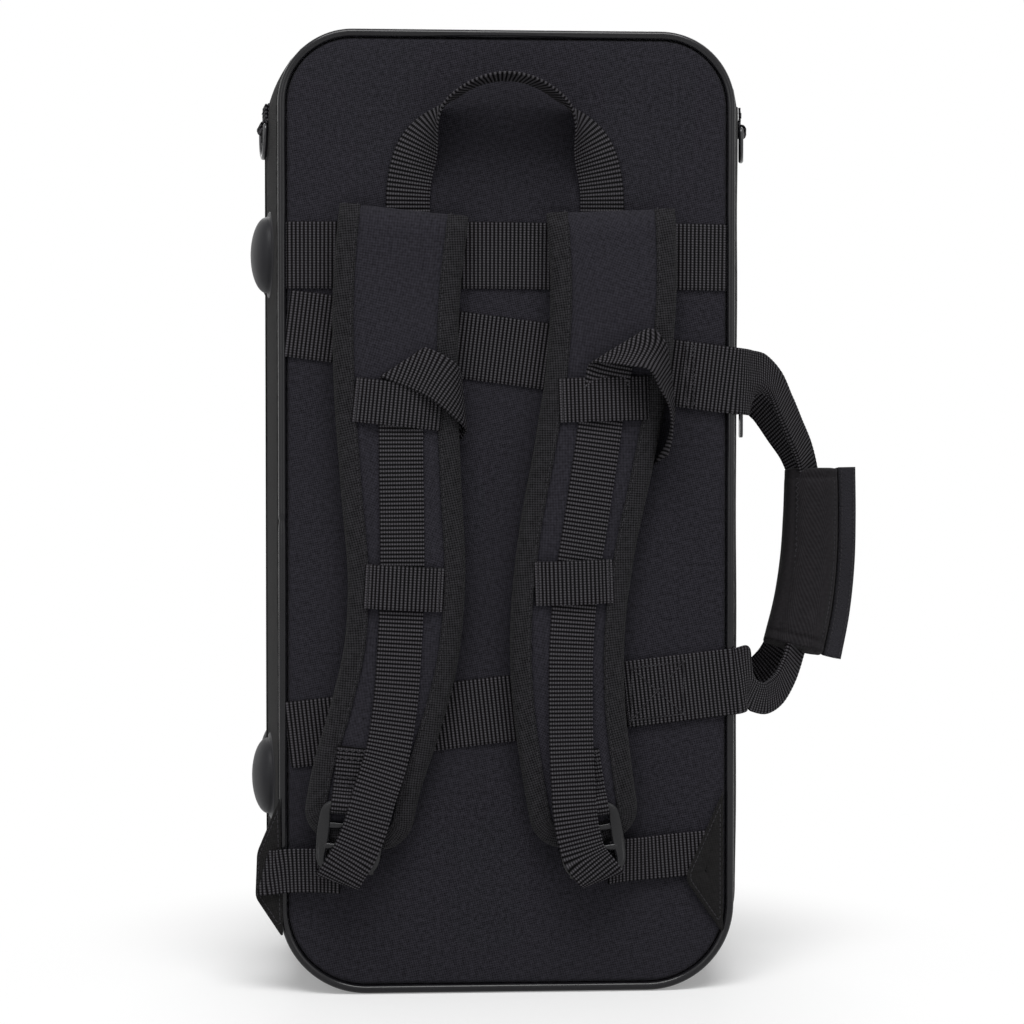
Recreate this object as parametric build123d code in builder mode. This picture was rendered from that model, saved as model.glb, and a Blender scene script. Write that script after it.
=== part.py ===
from build123d import *

import os
from math import atan2, cos, degrees, radians, sin

# Zipped soft trumpet case with backpack straps.
# Millimetres. The origin is on the floor under the middle of the zip. +Z runs up the
# case, +X points to the carrying handle, -Y out of the back panel and +Y out of the lid.

# ---------------------------------------------------------------- driving sizes
# case body
panel_width = 262.0
panel_height = 552.0
side_flare = 13.0  # how much wider each side is at the zip than at the panels
top_flare = 9.0
back_depth = 82.0
lid_depth = 72.0
top_corner = 43.0
bottom_corner = 50.0
cloth = 1.2
foam_wall = 8.0
plush = 1.0
piping_radius = 2.4
piping_facets = 12
seam_gap = 0.3
panel_rise = 2.5  # padded panel, proud of the seam
panel_round = 2.2
split_gap = 0.7  # between the two halves
rest_depth = 45.0  # from the split back to the middle of the back half's foot, where the frame stands

# zip and cloth spine
zip_reach = 12.0  # from the split to the edge of the tape
zip_channel = 2.2
tape_thickness = 0.8
coil_width = 2.3
coil_height = 1.8
spine_thickness = 1.1
spine_end_gap = 2.0
zip_end_rise = 17.0  # how far past the cloth spine the coil stops

# webbing
wide_web = 38.0
narrow_web = 25.0
web_thickness = 1.6
top_band_height = 423.0
upper_band_ends = (385.0, 352.0)
lower_band_ends = (148.5, 179.0)

# carrying handles
handle_lean = 50.0  # degrees from the panel towards the middle
lid_handle_lean = 46.0
handle_reach = 83.0
grip_top = 301.0
grip_bottom = 194.0
grip_web = 20.0
grip_web_thickness = 3.2
hinge_stand = 2.6  # carrying web clear of the piping
grip_width = 30.0
grip_thickness = 24.0
grip_round = 9.0
flap_width = 13.0
flap_thickness = 1.8

# haul loop
haul_span = 111.0
haul_foot = 453.0
haul_rise = 68.0
haul_stand = 22.0

# shoulder straps
strap_top = 448.0
strap_top_width = 72.0
strap_foot_width = 60.0
pad_thickness = 12.0
pad_edge_thickness = 8.0
binding_width = 11.0
binding_thickness = 0.8
strap_clearance = 0.4
strap_toe_round = 18.0
keeper_side = 12.0  # sewn length each side of the tail

# ladder-lock buckle
buckle_length = 38.0
buckle_rail = 3.4
buckle_thickness = 4.6
buckle_bar = 4.0
buckle_slack = 1.0

# feet and rings
foot_radius = 25.5
foot_height = 12.0
foot_flange = 1.5
foot_heights = (120.0, 427.0)
ring_wire = 1.5
ring_width = 26.0
ring_drop = 17.0
ring_tab_width = 20.0
ring_fall = 49.0  # from the top of the panels down to the rings
running_gap = 0.3

# zip sliders
slider_length = 14.0
slider_width = 9.0
slider_plate = 1.3
slider_meeting_height = 350.0
pull_length = 24.0
pull_width = 7.0
pull_thickness = 1.6

# trumpet that the nest holds
bell_radius = 63.0
throat_radius = 17.0
bell_side = -42.0
bell_axis_depth = -5.0
bell_rim_height = 16.0
leadpipe_side = 54.0
pipe_channel = 30.0
valve_space = (-104.0, 96.0)
nest_gap = 0.2
nest_below_rim = 7.0
bell_block_top = 190.0
valve_block_top = 330.0
tray_length = 112.0  # from the top of the panels down to the foot of the accessory tray
bow_width = 62.0
bow_wall = 15.0  # foam above the bell bow
receiver_wall = 40.0  # foam above the mouthpiece receiver
tray_side = 32.0
tray_wall = 7.0
nest_floor = 6.0
pocket_round = 12.0
mouthpiece_cup = 14.5
mouthpiece_shank = 8.0
mouthpiece_depth = 56.0
mouthpiece_cup_depth = 20.0
mouthpiece_spacing = 42.0
lid_pad_thickness = 12.0

# ---------------------------------------------------------------- derived sizes
half_split = split_gap / 2
rim_half_width = panel_width / 2 + side_flare
panel_seat = piping_radius + seam_gap
panel_inset = 2 * piping_radius + seam_gap
shell_inset = cloth + foam_wall
channel_inset = cloth + zip_channel
nest_inset = shell_inset + plush + nest_gap
back_face = back_depth + panel_rise
lid_face = lid_depth + panel_rise
strap_lift = web_thickness + strap_clearance
pad_front = strap_lift + pad_thickness
spine_low = bottom_corner + side_flare + spine_end_gap
spine_high = panel_height + top_flare - top_corner - side_flare - spine_end_gap
root_lift = web_thickness
ring_height = panel_height - ring_fall
bow_block_top = panel_height - tray_length
bow_end = bow_block_top - bow_wall
receiver_end = panel_height - receiver_wall

os.makedirs("parts", exist_ok=True)


def write(piece, name):
    """Label a finished piece, set it over the frame's origin and write it as its own STEP file."""
    piece.part.move(Location((0, rest_depth, 0)))
    piece.part.label = name
    export_step(piece.part, f"parts/{name}.step")


def outline_at(depth, inset):
    """Outline of the case at a signed depth from the split, set in from the outer cloth."""
    reach = back_depth if depth < 0 else lid_depth
    flare = 1 - abs(depth) / reach
    half_width = panel_width / 2 + side_flare * flare - inset
    top = panel_height + top_flare * flare - inset
    growth = side_flare * flare - inset
    with BuildSketch(Plane.XZ.offset(-depth)) as outline:
        with Locations((0, (top + inset) / 2)):
            Rectangle(2 * half_width, top - inset)
        fillet(outline.vertices().group_by(Axis.Y)[-1], top_corner + growth)
        fillet(outline.vertices().group_by(Axis.Y)[0], bottom_corner + growth)
    return outline.sketch


def wall_plane(side, depth, height):
    """Plane on the outer cloth of a side wall, its normal pointing out of the case."""
    reach = back_depth if depth < 0 else lid_depth
    face = panel_width / 2 + side_flare * (1 - abs(depth) / reach)
    slope = atan2(side_flare, reach)
    out = 1 if depth > 0 else -1
    normal = (side * cos(slope), out * sin(slope), 0)
    return Plane(origin=(side * face, depth, height), x_dir=(0, 0, 1), z_dir=normal)


# ---------------------------------------------------------------- the two halves
def make_shell(side, depth):
    """Stiff foam tray of one half, open at the split, rebated for the zip."""
    rim, channel = side * half_split, side * zip_reach
    back = side * (depth - panel_seat)
    with BuildPart() as shell:
        loft([outline_at(channel, cloth), outline_at(back, cloth)])
        loft([outline_at(rim, channel_inset), outline_at(channel, channel_inset)])
        inner = side * (depth - panel_seat - foam_wall)
        loft([outline_at(rim, shell_inset), outline_at(inner, shell_inset)], mode=Mode.SUBTRACT)
    return shell


def make_gusset(side, depth):
    """Cloth of the four side walls of one half, from the zip to the piping."""
    channel, back = side * zip_reach, side * (depth - panel_seat)
    with BuildPart() as gusset:
        loft([outline_at(channel, 0), outline_at(back, 0)])
        loft([outline_at(channel, cloth), outline_at(back, cloth)], mode=Mode.SUBTRACT)
    return gusset


def make_piping(side, depth):
    """Round piping in the seam between a panel and its gusset."""
    seam = outline_at(side * depth, piping_radius).faces()[0].outer_wire()
    with BuildPart() as piping:
        with BuildSketch(Plane(origin=seam @ 0, z_dir=seam % 0)):
            RegularPolygon(piping_radius, piping_facets)
        sweep(path=seam)
    return piping


def make_panel(side, depth):
    """Padded cloth panel, its outer edge rounded into the seam."""
    outline = outline_at(side * depth, panel_inset)
    with BuildPart() as panel:
        extrude(outline, amount=-side * panel_rise)
        extrude(outline, amount=side * panel_seat)
        outer_face = panel.faces().sort_by(Axis.Y)[-1 if side > 0 else 0]
        fillet(outer_face.edges(), panel_round)
    return panel


def make_lining(side, depth):
    """Plush glued to the inside of a tray."""
    rim = side * half_split
    outer = side * (depth - panel_seat - foam_wall)
    inner = outer - side * plush
    deep = shell_inset + plush
    with BuildPart() as lining:
        loft([outline_at(rim, shell_inset), outline_at(outer, shell_inset)])
        loft([outline_at(rim, deep), outline_at(inner, deep)], mode=Mode.SUBTRACT)
    return lining


def make_zip_tape(side):
    """Woven tape and coil of one half of the zip, stopping short of the spine."""
    rim, channel, coil = side * half_split, side * zip_reach, side * (half_split + coil_width)
    flat = channel_inset - tape_thickness
    bead = flat - coil_height
    with BuildPart() as tape:
        loft([outline_at(rim, flat), outline_at(channel, flat)])
        loft([outline_at(rim, bead), outline_at(coil, bead)])
        loft([outline_at(rim, channel_inset), outline_at(channel, channel_inset)], mode=Mode.SUBTRACT)
        low = spine_low - zip_end_rise
        high = spine_high + zip_end_rise
        with Locations((-rim_half_width, 0, (low + high) / 2)):
            Box(2 * bottom_corner, 3 * zip_reach, high - low, mode=Mode.SUBTRACT)
    return tape


def make_hinge_strip(side):
    """One half's share of the cloth spine that the lid turns on."""
    rim, channel = side * half_split, side * zip_reach
    face = channel_inset - spine_thickness
    with BuildPart() as strip:
        loft([outline_at(rim, face), outline_at(channel, face)])
        loft([outline_at(rim, channel_inset), outline_at(channel, channel_inset)], mode=Mode.SUBTRACT)
        with Locations((-rim_half_width, 0, (spine_low + spine_high) / 2)):
            Box(2 * bottom_corner, 3 * zip_reach, spine_high - spine_low, mode=Mode.INTERSECT)
    return strip


for half, side, depth in (("back", -1, back_depth), ("lid", 1, lid_depth)):
    write(make_shell(side, depth), f"{half}_shell")
    write(make_gusset(side, depth), f"{half}_gusset")
    write(make_piping(side, depth), f"{half}_piping")
    write(make_panel(side, depth), f"{half}_panel")
    write(make_lining(side, depth), f"{half}_lining")
    write(make_zip_tape(side), f"{half}_zip_tape")
    write(make_hinge_strip(side), f"{half}_hinge_strip")

# ---------------------------------------------------------------- nest for the trumpet
nest_back = -(back_depth - panel_seat - foam_wall - plush)
nest_top = -nest_below_rim
nest_faces = (outline_at(nest_back, nest_inset), outline_at(nest_top, nest_inset))
case_top = panel_height + top_flare


def nest_block(low, high, left, right):
    """Foam block filling the tray between two heights and two sides, in the open builder."""
    loft(list(nest_faces))
    middle = ((left + right) / 2, nest_back / 2, (low + high) / 2)
    with Locations(middle):
        Box(right - left, back_depth, high - low, mode=Mode.INTERSECT)


def channel_cut(left, right, low, high, floor=nest_floor):
    """Straight-sided trough from the top of the nest down to a foam floor."""
    bottom = nest_back + floor
    with Locations(((left + right) / 2, bottom, (low + high) / 2)):
        Box(
            right - left,
            back_depth,
            high - low,
            align=(Align.CENTER, Align.MIN, Align.CENTER),
            mode=Mode.SUBTRACT,
        )


def bell_profile():
    """Half section of the space for the bell, from its rim to its throat."""
    axis_plane = Plane(origin=(bell_side, bell_axis_depth, 0), x_dir=(1, 0, 0), z_dir=(0, -1, 0))
    straight = bell_rim_height + bell_radius / 6
    with BuildSketch(axis_plane) as section:
        with BuildLine():
            edge = Line((0, bell_rim_height), (bell_radius, bell_rim_height))
            lip = Line(edge @ 1, (bell_radius, straight))
            throat = (throat_radius, bell_block_top)
            flare = Spline(lip @ 1, throat, tangents=((-1, 0.9), (0, 1)), tangent_scalars=(1.1, 1.3))
            Polyline(flare @ 1, (0, bell_block_top), (0, bell_rim_height))
        make_face()
    return section.sketch


bell_section = bell_profile()
bell_axis = Axis((bell_side, bell_axis_depth, 0), (0, 0, 1))

with BuildPart() as bell_cradle:
    nest_block(0, bell_block_top, -panel_width, panel_width)
    revolve(bell_section, axis=bell_axis, mode=Mode.SUBTRACT)
    pipe_left = leadpipe_side - pipe_channel / 2
    pipe_right = leadpipe_side + pipe_channel / 2
    channel_cut(pipe_left, pipe_right, bell_block_top / 2, bell_block_top)
write(bell_cradle, "bell_cradle")

with BuildPart() as valve_cradle:
    nest_block(bell_block_top, valve_block_top, -panel_width, panel_width)
    channel_cut(valve_space[0], valve_space[1], bell_block_top, valve_block_top)
write(valve_cradle, "valve_cradle")

with BuildPart() as bow_cradle:
    nest_block(valve_block_top, bow_block_top, -panel_width, panel_width)
    bow_left, bow_right = bell_side - bow_width / 2, bell_side + bow_width / 2
    channel_cut(bow_left, bow_right, valve_block_top, bow_end)
    channel_cut(pipe_left, pipe_right, valve_block_top, bow_block_top)
write(bow_cradle, "bow_cradle")

with BuildPart() as accessory_tray:
    nest_block(bow_block_top, case_top, -panel_width, tray_side)
    tray_left = -(panel_width / 2 - nest_inset - tray_wall)
    tray_top = panel_height - nest_inset - tray_wall
    with BuildSketch(Plane.XZ.offset(-nest_top)) as pocket:
        with Locations(((tray_left + tray_side - tray_wall) / 2, (bow_block_top + tray_wall + tray_top) / 2)):
            RectangleRounded(
                tray_side - tray_wall - tray_left, tray_top - bow_block_top - tray_wall, 2 * pocket_round
            )
    extrude(amount=nest_top - nest_back - nest_floor, mode=Mode.SUBTRACT)
write(accessory_tray, "accessory_tray")

with BuildPart() as mouthpiece_block:
    nest_block(bow_block_top, case_top, tray_side, panel_width)
    channel_cut(tray_side + tray_wall, pipe_right, bow_block_top, receiver_end)
    hole_side = (pipe_right + panel_width / 2 - nest_inset) / 2
    hole_height = bow_block_top + mouthpiece_spacing
    hole_plane = Plane(origin=(hole_side, nest_top, hole_height), x_dir=(1, 0, 0), z_dir=(0, 1, 0))
    with Locations(hole_plane):
        with GridLocations(0, mouthpiece_spacing, 1, 2):
            CounterBoreHole(mouthpiece_shank, mouthpiece_cup, mouthpiece_cup_depth, mouthpiece_depth)
write(mouthpiece_block, "mouthpiece_block")

with BuildPart() as lid_pad:
    pad_seat = lid_depth - panel_seat - foam_wall - plush
    loft([outline_at(pad_seat, nest_inset), outline_at(pad_seat - lid_pad_thickness, nest_inset)])
    revolve(bell_section, axis=bell_axis, mode=Mode.SUBTRACT)
write(lid_pad, "lid_pad")

# ---------------------------------------------------------------- webbing on the panels
def make_band(side, left_height, right_height):
    """Wide webbing sewn right across a panel into its side seams."""
    reach = panel_width / 2
    face = back_face if side < 0 else lid_face
    with BuildPart() as band:
        with BuildSketch(Plane.XZ.offset(-side * face)):
            with BuildLine():
                Line((-reach, left_height), (reach, right_height))
            trace(line_width=wide_web)
        extrude(amount=-side * web_thickness)
        extrude(outline_at(side * face, panel_inset), amount=-side * web_thickness, mode=Mode.INTERSECT)
    return band


write(make_band(-1, top_band_height, top_band_height), "top_band")
write(make_band(-1, *upper_band_ends), "upper_handle_band")
write(make_band(-1, *lower_band_ends), "lower_handle_band")
write(make_band(1, *upper_band_ends), "lid_upper_band")
write(make_band(1, *lower_band_ends), "lid_lower_band")

# ---------------------------------------------------------------- helpers for soft webbing
OUT = Vector(0, -1, 0)  # out of the back panel
UP = Vector(0, 0, 1)
ACROSS = Vector(1, 0, 0)


def on_back(side, height, lift):
    """Point in front of the back panel, lifted off its face."""
    return Vector(side, -(back_face + lift), height)


def web_section(path, position, across, width, thickness):
    """Section of webbing at a place along its path, its width turned to lie along a direction."""
    run = path % position
    spread = (across - run * across.dot(run)).normalized()
    with BuildSketch(Plane(origin=path @ position, x_dir=spread, z_dir=run)) as section:
        Rectangle(width, thickness)
    return section.sketch


def web_sections(path, across, width, steps, crowding=1.0):
    """Sections along a path, ready to loft, crowded towards its start where it turns."""
    places = [(step / steps) ** crowding for step in range(steps + 1)]
    return [web_section(path, place, across, width, web_thickness) for place in places]


# ---------------------------------------------------------------- haul loop
haul_middle = -1.5
haul_steps = 18


def haul_point(turn):
    """Middle line of the haul loop, from 0 at its left foot to 180 degrees at its right."""
    rise = sin(radians(turn))
    side = haul_middle - haul_span / 2 * cos(radians(turn))
    stand = web_thickness / 2 + haul_stand * rise**2
    return on_back(side, haul_foot + haul_rise * rise, stand)


def haul_section(turn):
    """Section of the haul loop, flat on the panel at its feet and edge-on at its top."""
    step = 1.0
    run = (haul_point(turn + step) - haul_point(turn - step)).normalized()
    twist = radians(90 * sin(radians(turn)) ** 2)
    spread = run.cross(OUT) * cos(twist) + OUT * sin(twist)
    across = (spread - run * spread.dot(run)).normalized()
    with BuildSketch(Plane(origin=haul_point(turn), x_dir=across, z_dir=run)) as section:
        Rectangle(narrow_web, web_thickness)
    return section.sketch


haul_sections = [haul_section(180 * step / haul_steps) for step in range(haul_steps + 1)]
with BuildPart() as haul_loop:
    loft(haul_sections, ruled=True)
write(haul_loop, "haul_loop")

root_top = haul_foot - running_gap
root_low = top_band_height + wide_web / 2 + running_gap
with BuildPart() as haul_roots:
    with BuildSketch(Plane.XZ.offset(back_face)):
        with Locations((haul_middle, (root_low + root_top) / 2)):
            with GridLocations(haul_span, 0, 2, 1):
                Rectangle(narrow_web, root_top - root_low)
    extrude(amount=web_thickness)
write(haul_roots, "haul_roots")

# ---------------------------------------------------------------- carrying handles
upper_slope = (upper_band_ends[1] - upper_band_ends[0]) / panel_width
lower_slope = (lower_band_ends[1] - lower_band_ends[0]) / panel_width
hinge_side = panel_width / 2 + hinge_stand
upper_anchor = upper_band_ends[1] + upper_slope * hinge_stand
lower_anchor = lower_band_ends[1] + lower_slope * hinge_stand
upper_root_start = 100.0
lower_root_start = 68.0
handle_start = web_thickness / 2
grip_middle = (grip_top + grip_bottom) / 2
grip_foot_reach = 0.8 * handle_reach
grip_ends = ((handle_reach, grip_top), (handle_reach, grip_middle), (grip_foot_reach, grip_bottom))
grip_arc = ThreePointArc(*grip_ends)
loop_start = handle_start + grip_web / 3
upper_run = (
    (loop_start, upper_anchor),
    (0.64 * handle_reach, upper_anchor),
    (0.96 * handle_reach, grip_top + grip_web),
    grip_ends[0],
)
lower_run = (
    grip_ends[2],
    (0.68 * handle_reach, grip_bottom - grip_web),
    (0.36 * handle_reach, lower_anchor - grip_web / 2),
    (loop_start, lower_anchor),
)
fold_radius = 0.8 * grip_web


def handle_line():
    """Middle line of a carrying loop, drawn in the open line builder."""
    FilletPolyline(*upper_run, radius=fold_radius)
    ThreePointArc(*grip_ends)
    FilletPolyline(*lower_run, radius=fold_radius)


def handle_plane(side, lean):
    """Plane of a carrying loop, through its hinge line and leaning to the middle of the case."""
    face = back_face if side < 0 else lid_face
    origin = (hinge_side, side * (face + root_lift + web_thickness / 2), 0)
    away = Vector(cos(radians(lean)), -side * sin(radians(lean)), 0)
    return Plane(origin=origin, x_dir=away, z_dir=away.cross(UP))


def make_roots(side):
    """Two sewn ends of a carrying loop, on the bands and over the piping."""
    face = back_face if side < 0 else lid_face
    end = hinge_side - running_gap
    with BuildPart() as roots:
        with BuildSketch(Plane.XZ.offset(-side * (face + root_lift))):
            for start, anchor, slope in (
                (upper_root_start, upper_anchor, upper_slope),
                (lower_root_start, lower_anchor, lower_slope),
            ):
                sewn_end = anchor - slope * (hinge_side - start)
                with BuildLine():
                    Polyline(
                        (start, sewn_end - wide_web / 2),
                        (end, anchor - wide_web / 2),
                        (end, anchor + wide_web / 2),
                        (start, sewn_end + wide_web / 2),
                        close=True,
                    )
                make_face()
        extrude(amount=-side * web_thickness)
    return roots


def make_handle(side, lean):
    """Carrying loop: wide webbing folded to half its width between two anchors."""
    fold_end = handle_reach / 3
    with BuildPart() as handle:
        with BuildSketch(handle_plane(side, lean)):
            with BuildLine():
                handle_line()
            trace(line_width=grip_web)
            for anchor in (upper_anchor, lower_anchor):
                with BuildLine():
                    Polyline(
                        (handle_start, anchor - wide_web / 2),
                        (fold_end, anchor - grip_web / 4),
                        (fold_end, anchor + grip_web / 4),
                        (handle_start, anchor + wide_web / 2),
                        close=True,
                    )
                make_face()
        extrude(amount=grip_web_thickness / 2, both=True)
    return handle


write(make_roots(-1), "handle_roots")
write(make_roots(1), "lid_handle_roots")
write(make_handle(-1, handle_lean), "back_handle")
write(make_handle(1, lid_handle_lean), "lid_handle")

flange_shift = (grip_width + flap_width) / 2 - flap_thickness
flap_shift = flange_shift + 1.5 * flap_thickness
grip_plane = handle_plane(-1, handle_lean)
grip_steps = 8
with BuildLine(grip_plane) as grip_line:
    ThreePointArc(*grip_ends)


def grip_section(position, shift, lift, width, thickness, corner=0.0):
    """Section of the grip's cloth, facing out of the back panel, moved across and out of its face."""
    run = grip_line.line % position
    spread = (ACROSS - run * ACROSS.dot(run)).normalized()
    with BuildSketch(Plane(origin=grip_line.line @ position, x_dir=spread, z_dir=run)) as section:
        with Locations((shift, lift)):
            if corner:
                RectangleRounded(width, thickness, corner)
            else:
                Rectangle(width, thickness)
    return section.sketch


def grip_sections(*sizes):
    """Sections along the whole grip, ready to loft."""
    return [grip_section(step / grip_steps, *sizes) for step in range(grip_steps + 1)]


with BuildPart() as grip_wrap:
    loft(grip_sections(0, 0, grip_width, grip_thickness, grip_round))
    loft(grip_sections(flange_shift, -flap_thickness / 2, flap_width, flap_thickness))
    with BuildSketch(grip_plane):
        with BuildLine():
            handle_line()
        trace(line_width=grip_web + seam_gap)
    extrude(amount=(grip_web_thickness + seam_gap) / 2, both=True, mode=Mode.SUBTRACT)
write(grip_wrap, "grip_wrap")

with BuildPart() as wrap_flap:
    flap_lift = running_gap + flap_thickness / 2
    loft(grip_sections(flap_shift, flap_lift, flap_width - flap_thickness, flap_thickness))
write(wrap_flap, "wrap_flap")

# ---------------------------------------------------------------- shoulder straps
# Middle lines on the back panel from the sewn top to the toe, as (side, height).
left_line = ((-59, 448), (-63, 408), (-64, 355), (-61, 292), (-58, 235), (-61, 197), (-70, 160), (-81, 124), (-88, 88))
right_line = ((61, 448), (62.5, 408), (60, 362), (51.5, 310), (41.5, 258), (36.5, 212), (37, 170), (42, 128), (48.5, 88))
pad_edge_lift = strap_lift + (pad_thickness - pad_edge_thickness) / 2


def strap_outline(line, inset, lift):
    """Outline of a shoulder pad round its middle line, set in from its sides and toe."""
    left_edge, right_edge = [], []
    last = len(line) - 1
    for index, point in enumerate(line):
        before, after = line[max(index - 1, 0)], line[min(index + 1, last)]
        run = (Vector(*after) - Vector(*before)).normalized()
        across = Vector(-run.Y, run.X)
        taper = (strap_top_width - strap_foot_width) * index / last
        half = (strap_top_width - taper) / 2 - inset
        middle = Vector(*point) - run * (inset if index == last else 0)
        left_edge.append(middle - across * half)
        right_edge.append(middle + across * half)
    with BuildSketch(Plane.XZ.offset(back_face + lift)) as outline:
        with BuildLine():
            Spline(*left_edge)
            Line(left_edge[-1], right_edge[-1])
            Spline(*right_edge)
            Line(left_edge[0], right_edge[0])
        make_face()
        toe = outline.vertices().sort_by(Axis.Y)[:2]
        fillet(toe, strap_toe_round - inset / 2)
    return outline.sketch


def make_pad(line):
    """Foam pad, thick in the middle and thinner where its edges are bound."""
    with BuildPart() as pad:
        extrude(strap_outline(line, binding_width + seam_gap, strap_lift), amount=pad_thickness)
        extrude(strap_outline(line, binding_thickness, pad_edge_lift), amount=pad_edge_thickness)
    return pad


def make_binding(line):
    """Folded tape round both sides and the toe of a pad."""
    lift = pad_edge_lift - binding_thickness
    folded = pad_edge_thickness + 2 * binding_thickness
    with BuildPart() as binding:
        extrude(strap_outline(line, 0, lift), amount=folded)
        extrude(strap_outline(line, binding_width, lift), amount=folded, mode=Mode.SUBTRACT)
        pad_edge = strap_outline(line, binding_thickness, pad_edge_lift)
        extrude(pad_edge, amount=pad_edge_thickness, mode=Mode.SUBTRACT)
    return binding


# Height, side and tilt in degrees of each keeper, upper one first.
left_keepers = ((338, -61.5, -6), (234, -61, -3))
right_keepers = ((341, 56, 2), (237, 41.5, 2))
keeper_lift = web_thickness + 2 * seam_gap


def make_keepers(spots):
    """Two short webs sewn across a pad, arched over the tail of the strap."""
    arch = narrow_web / 2 + 2.5
    spring = arch + web_thickness
    foot = spring + keeper_side
    with BuildPart() as keepers:
        for height, side, tilt in spots:
            along = Vector(cos(radians(tilt)), 0, sin(radians(tilt)))
            place = Plane(origin=on_back(side, height, pad_front), x_dir=along, z_dir=along.cross(OUT))
            with BuildSketch(place):
                with BuildLine():
                    Polyline(
                        (-foot, 0),
                        (-spring, 0),
                        (-arch, keeper_lift),
                        (arch, keeper_lift),
                        (spring, 0),
                        (foot, 0),
                        (foot, web_thickness),
                        (spring + web_thickness, web_thickness),
                        (arch + web_thickness, keeper_lift + web_thickness),
                        (-arch - web_thickness, keeper_lift + web_thickness),
                        (-spring - web_thickness, web_thickness),
                        (-foot, web_thickness),
                        close=True,
                    )
                make_face()
            extrude(amount=narrow_web / 2, both=True)
    return keepers


# Ladder-lock buckle on the toe of each strap: middle (side, height) and lean in degrees.
left_buckle_spot = (-88.5, 93.6, -6)
right_buckle_spot = (49.2, 91, 9)
buckle_lift = pad_front + seam_gap
buckle_width = narrow_web + 2 * buckle_slack + 2 * buckle_rail
tail_on_pad = pad_front + seam_gap + web_thickness / 2
tail_on_base = tail_on_pad + web_thickness + seam_gap
tail_on_buckle = buckle_lift + buckle_thickness + seam_gap + web_thickness / 2


def make_buckle(side, height, lean):
    """Ladder lock: two rails, a web bar, a grip bar and a raised thumb lip."""
    along = Vector(cos(radians(lean)), 0, sin(radians(lean)))
    place = Plane(origin=on_back(side, height, buckle_lift), x_dir=along, z_dir=OUT)
    slot = (buckle_length - 4 * buckle_bar) / 3
    pitch = slot + buckle_bar
    with BuildPart() as buckle:
        with BuildSketch(place):
            RectangleRounded(buckle_width, buckle_length, buckle_rail)
            with GridLocations(0, pitch, 1, 3):
                RectangleRounded(buckle_width - 2 * buckle_rail, slot, buckle_slack, mode=Mode.SUBTRACT)
        extrude(amount=buckle_thickness)
        fillet(buckle.faces().sort_by(Axis.Y)[0].outer_wire().edges(), buckle_thickness / 4)
    return buckle


def make_base_web(side, height, lean):
    """Short web sewn to the pad that holds the buckle."""
    rise = Vector(-sin(radians(lean)), cos(radians(lean)))
    foot = Vector(side, height) + rise * (buckle_length / 2 + seam_gap)
    end = foot + rise * (1.3 * narrow_web)
    with BuildPart() as base_web:
        with BuildSketch(Plane.XZ.offset(back_face + pad_front)):
            with BuildLine():
                Line(foot, end)
            trace(line_width=narrow_web)
        extrude(amount=web_thickness)
    return base_web


# Middle lines of the tails, from the turn under the buckle to the top, as (side, height, lift).
left_tail_line = (
    (-97, 71, tail_on_pad - 3),
    (-96, 63, (tail_on_pad + tail_on_buckle) / 2),
    (-93, 71, tail_on_buckle),
    (-86, 92, tail_on_buckle),
    (-79, 112, tail_on_buckle),
    (-71, 140, tail_on_base),
    (-65.5, 165, tail_on_pad),
    (-62.5, 200, tail_on_pad),
    (-60.5, 255, tail_on_pad),
    (-60, 310, tail_on_pad),
    (-62, 356, tail_on_pad),
)
right_tail_line = (
    (54, 71, tail_on_pad - 3),
    (53, 63, (tail_on_pad + tail_on_buckle) / 2),
    (49, 71, tail_on_buckle),
    (42, 92, tail_on_buckle),
    (39.5, 112, tail_on_buckle),
    (38.5, 140, tail_on_base),
    (37.5, 165, tail_on_pad),
    (38, 200, tail_on_pad),
    (44, 252, tail_on_pad),
    (54, 318, tail_on_pad),
    (58, 359, tail_on_pad),
)
tail_steps = 22
tail_crowding = 1.7


def make_tail(line):
    """Free end of the strap web, run up over the buckle and under both keepers."""
    path = Spline(*[on_back(*point) for point in line])
    sections = web_sections(path, ACROSS, narrow_web, tail_steps, tail_crowding)
    with BuildPart() as tail:
        loft(sections[::-1], ruled=True)
    return tail


straps = (
    ("left", left_line, left_keepers, left_buckle_spot, left_tail_line),
    ("right", right_line, right_keepers, right_buckle_spot, right_tail_line),
)
for name, line, keepers, buckle_spot, tail_line in straps:
    write(make_pad(line), f"{name}_pad")
    write(make_binding(line), f"{name}_binding")
    write(make_keepers(keepers), f"{name}_keepers")
    write(make_buckle(*buckle_spot), f"{name}_buckle")
    write(make_base_web(*buckle_spot), f"{name}_base_web")
    write(make_tail(tail_line), f"{name}_tail")

# ---------------------------------------------------------------- lower strap anchors
right_tab_corners = ((124, 114), (124, 42), (103, 62), (103, 88))
left_tab_corners = ((0, 108), (0, 40), (-11, 52), (-11, 84))
right_web_line = ((76, 77, 5.0), (92, 78, 4.0), (110, 79.5, 2.6))
left_web_line = ((-104, 69, 7.0), (-120, 67, 3.0), (-132, 66.5, 1.2), (-141, 66, 1.2))
anchor_steps = 6


def make_anchor_web(line):
    """Fixed end of the strap web, from its corner tab towards the buckle."""
    path = Spline(*[on_back(*point) for point in line])
    sections = web_sections(path, UP, narrow_web, anchor_steps)
    with BuildPart() as anchor:
        loft(sections, ruled=True)
    return anchor


with BuildPart() as right_anchor_tab:
    with BuildSketch(Plane.XZ.offset(back_face)):
        with BuildLine():
            Polyline(*right_tab_corners, close=True)
        make_face()
    extrude(amount=web_thickness)
    extrude(outline_at(-back_face, panel_inset), amount=web_thickness, mode=Mode.INTERSECT)
write(right_anchor_tab, "right_anchor_tab")

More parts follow.
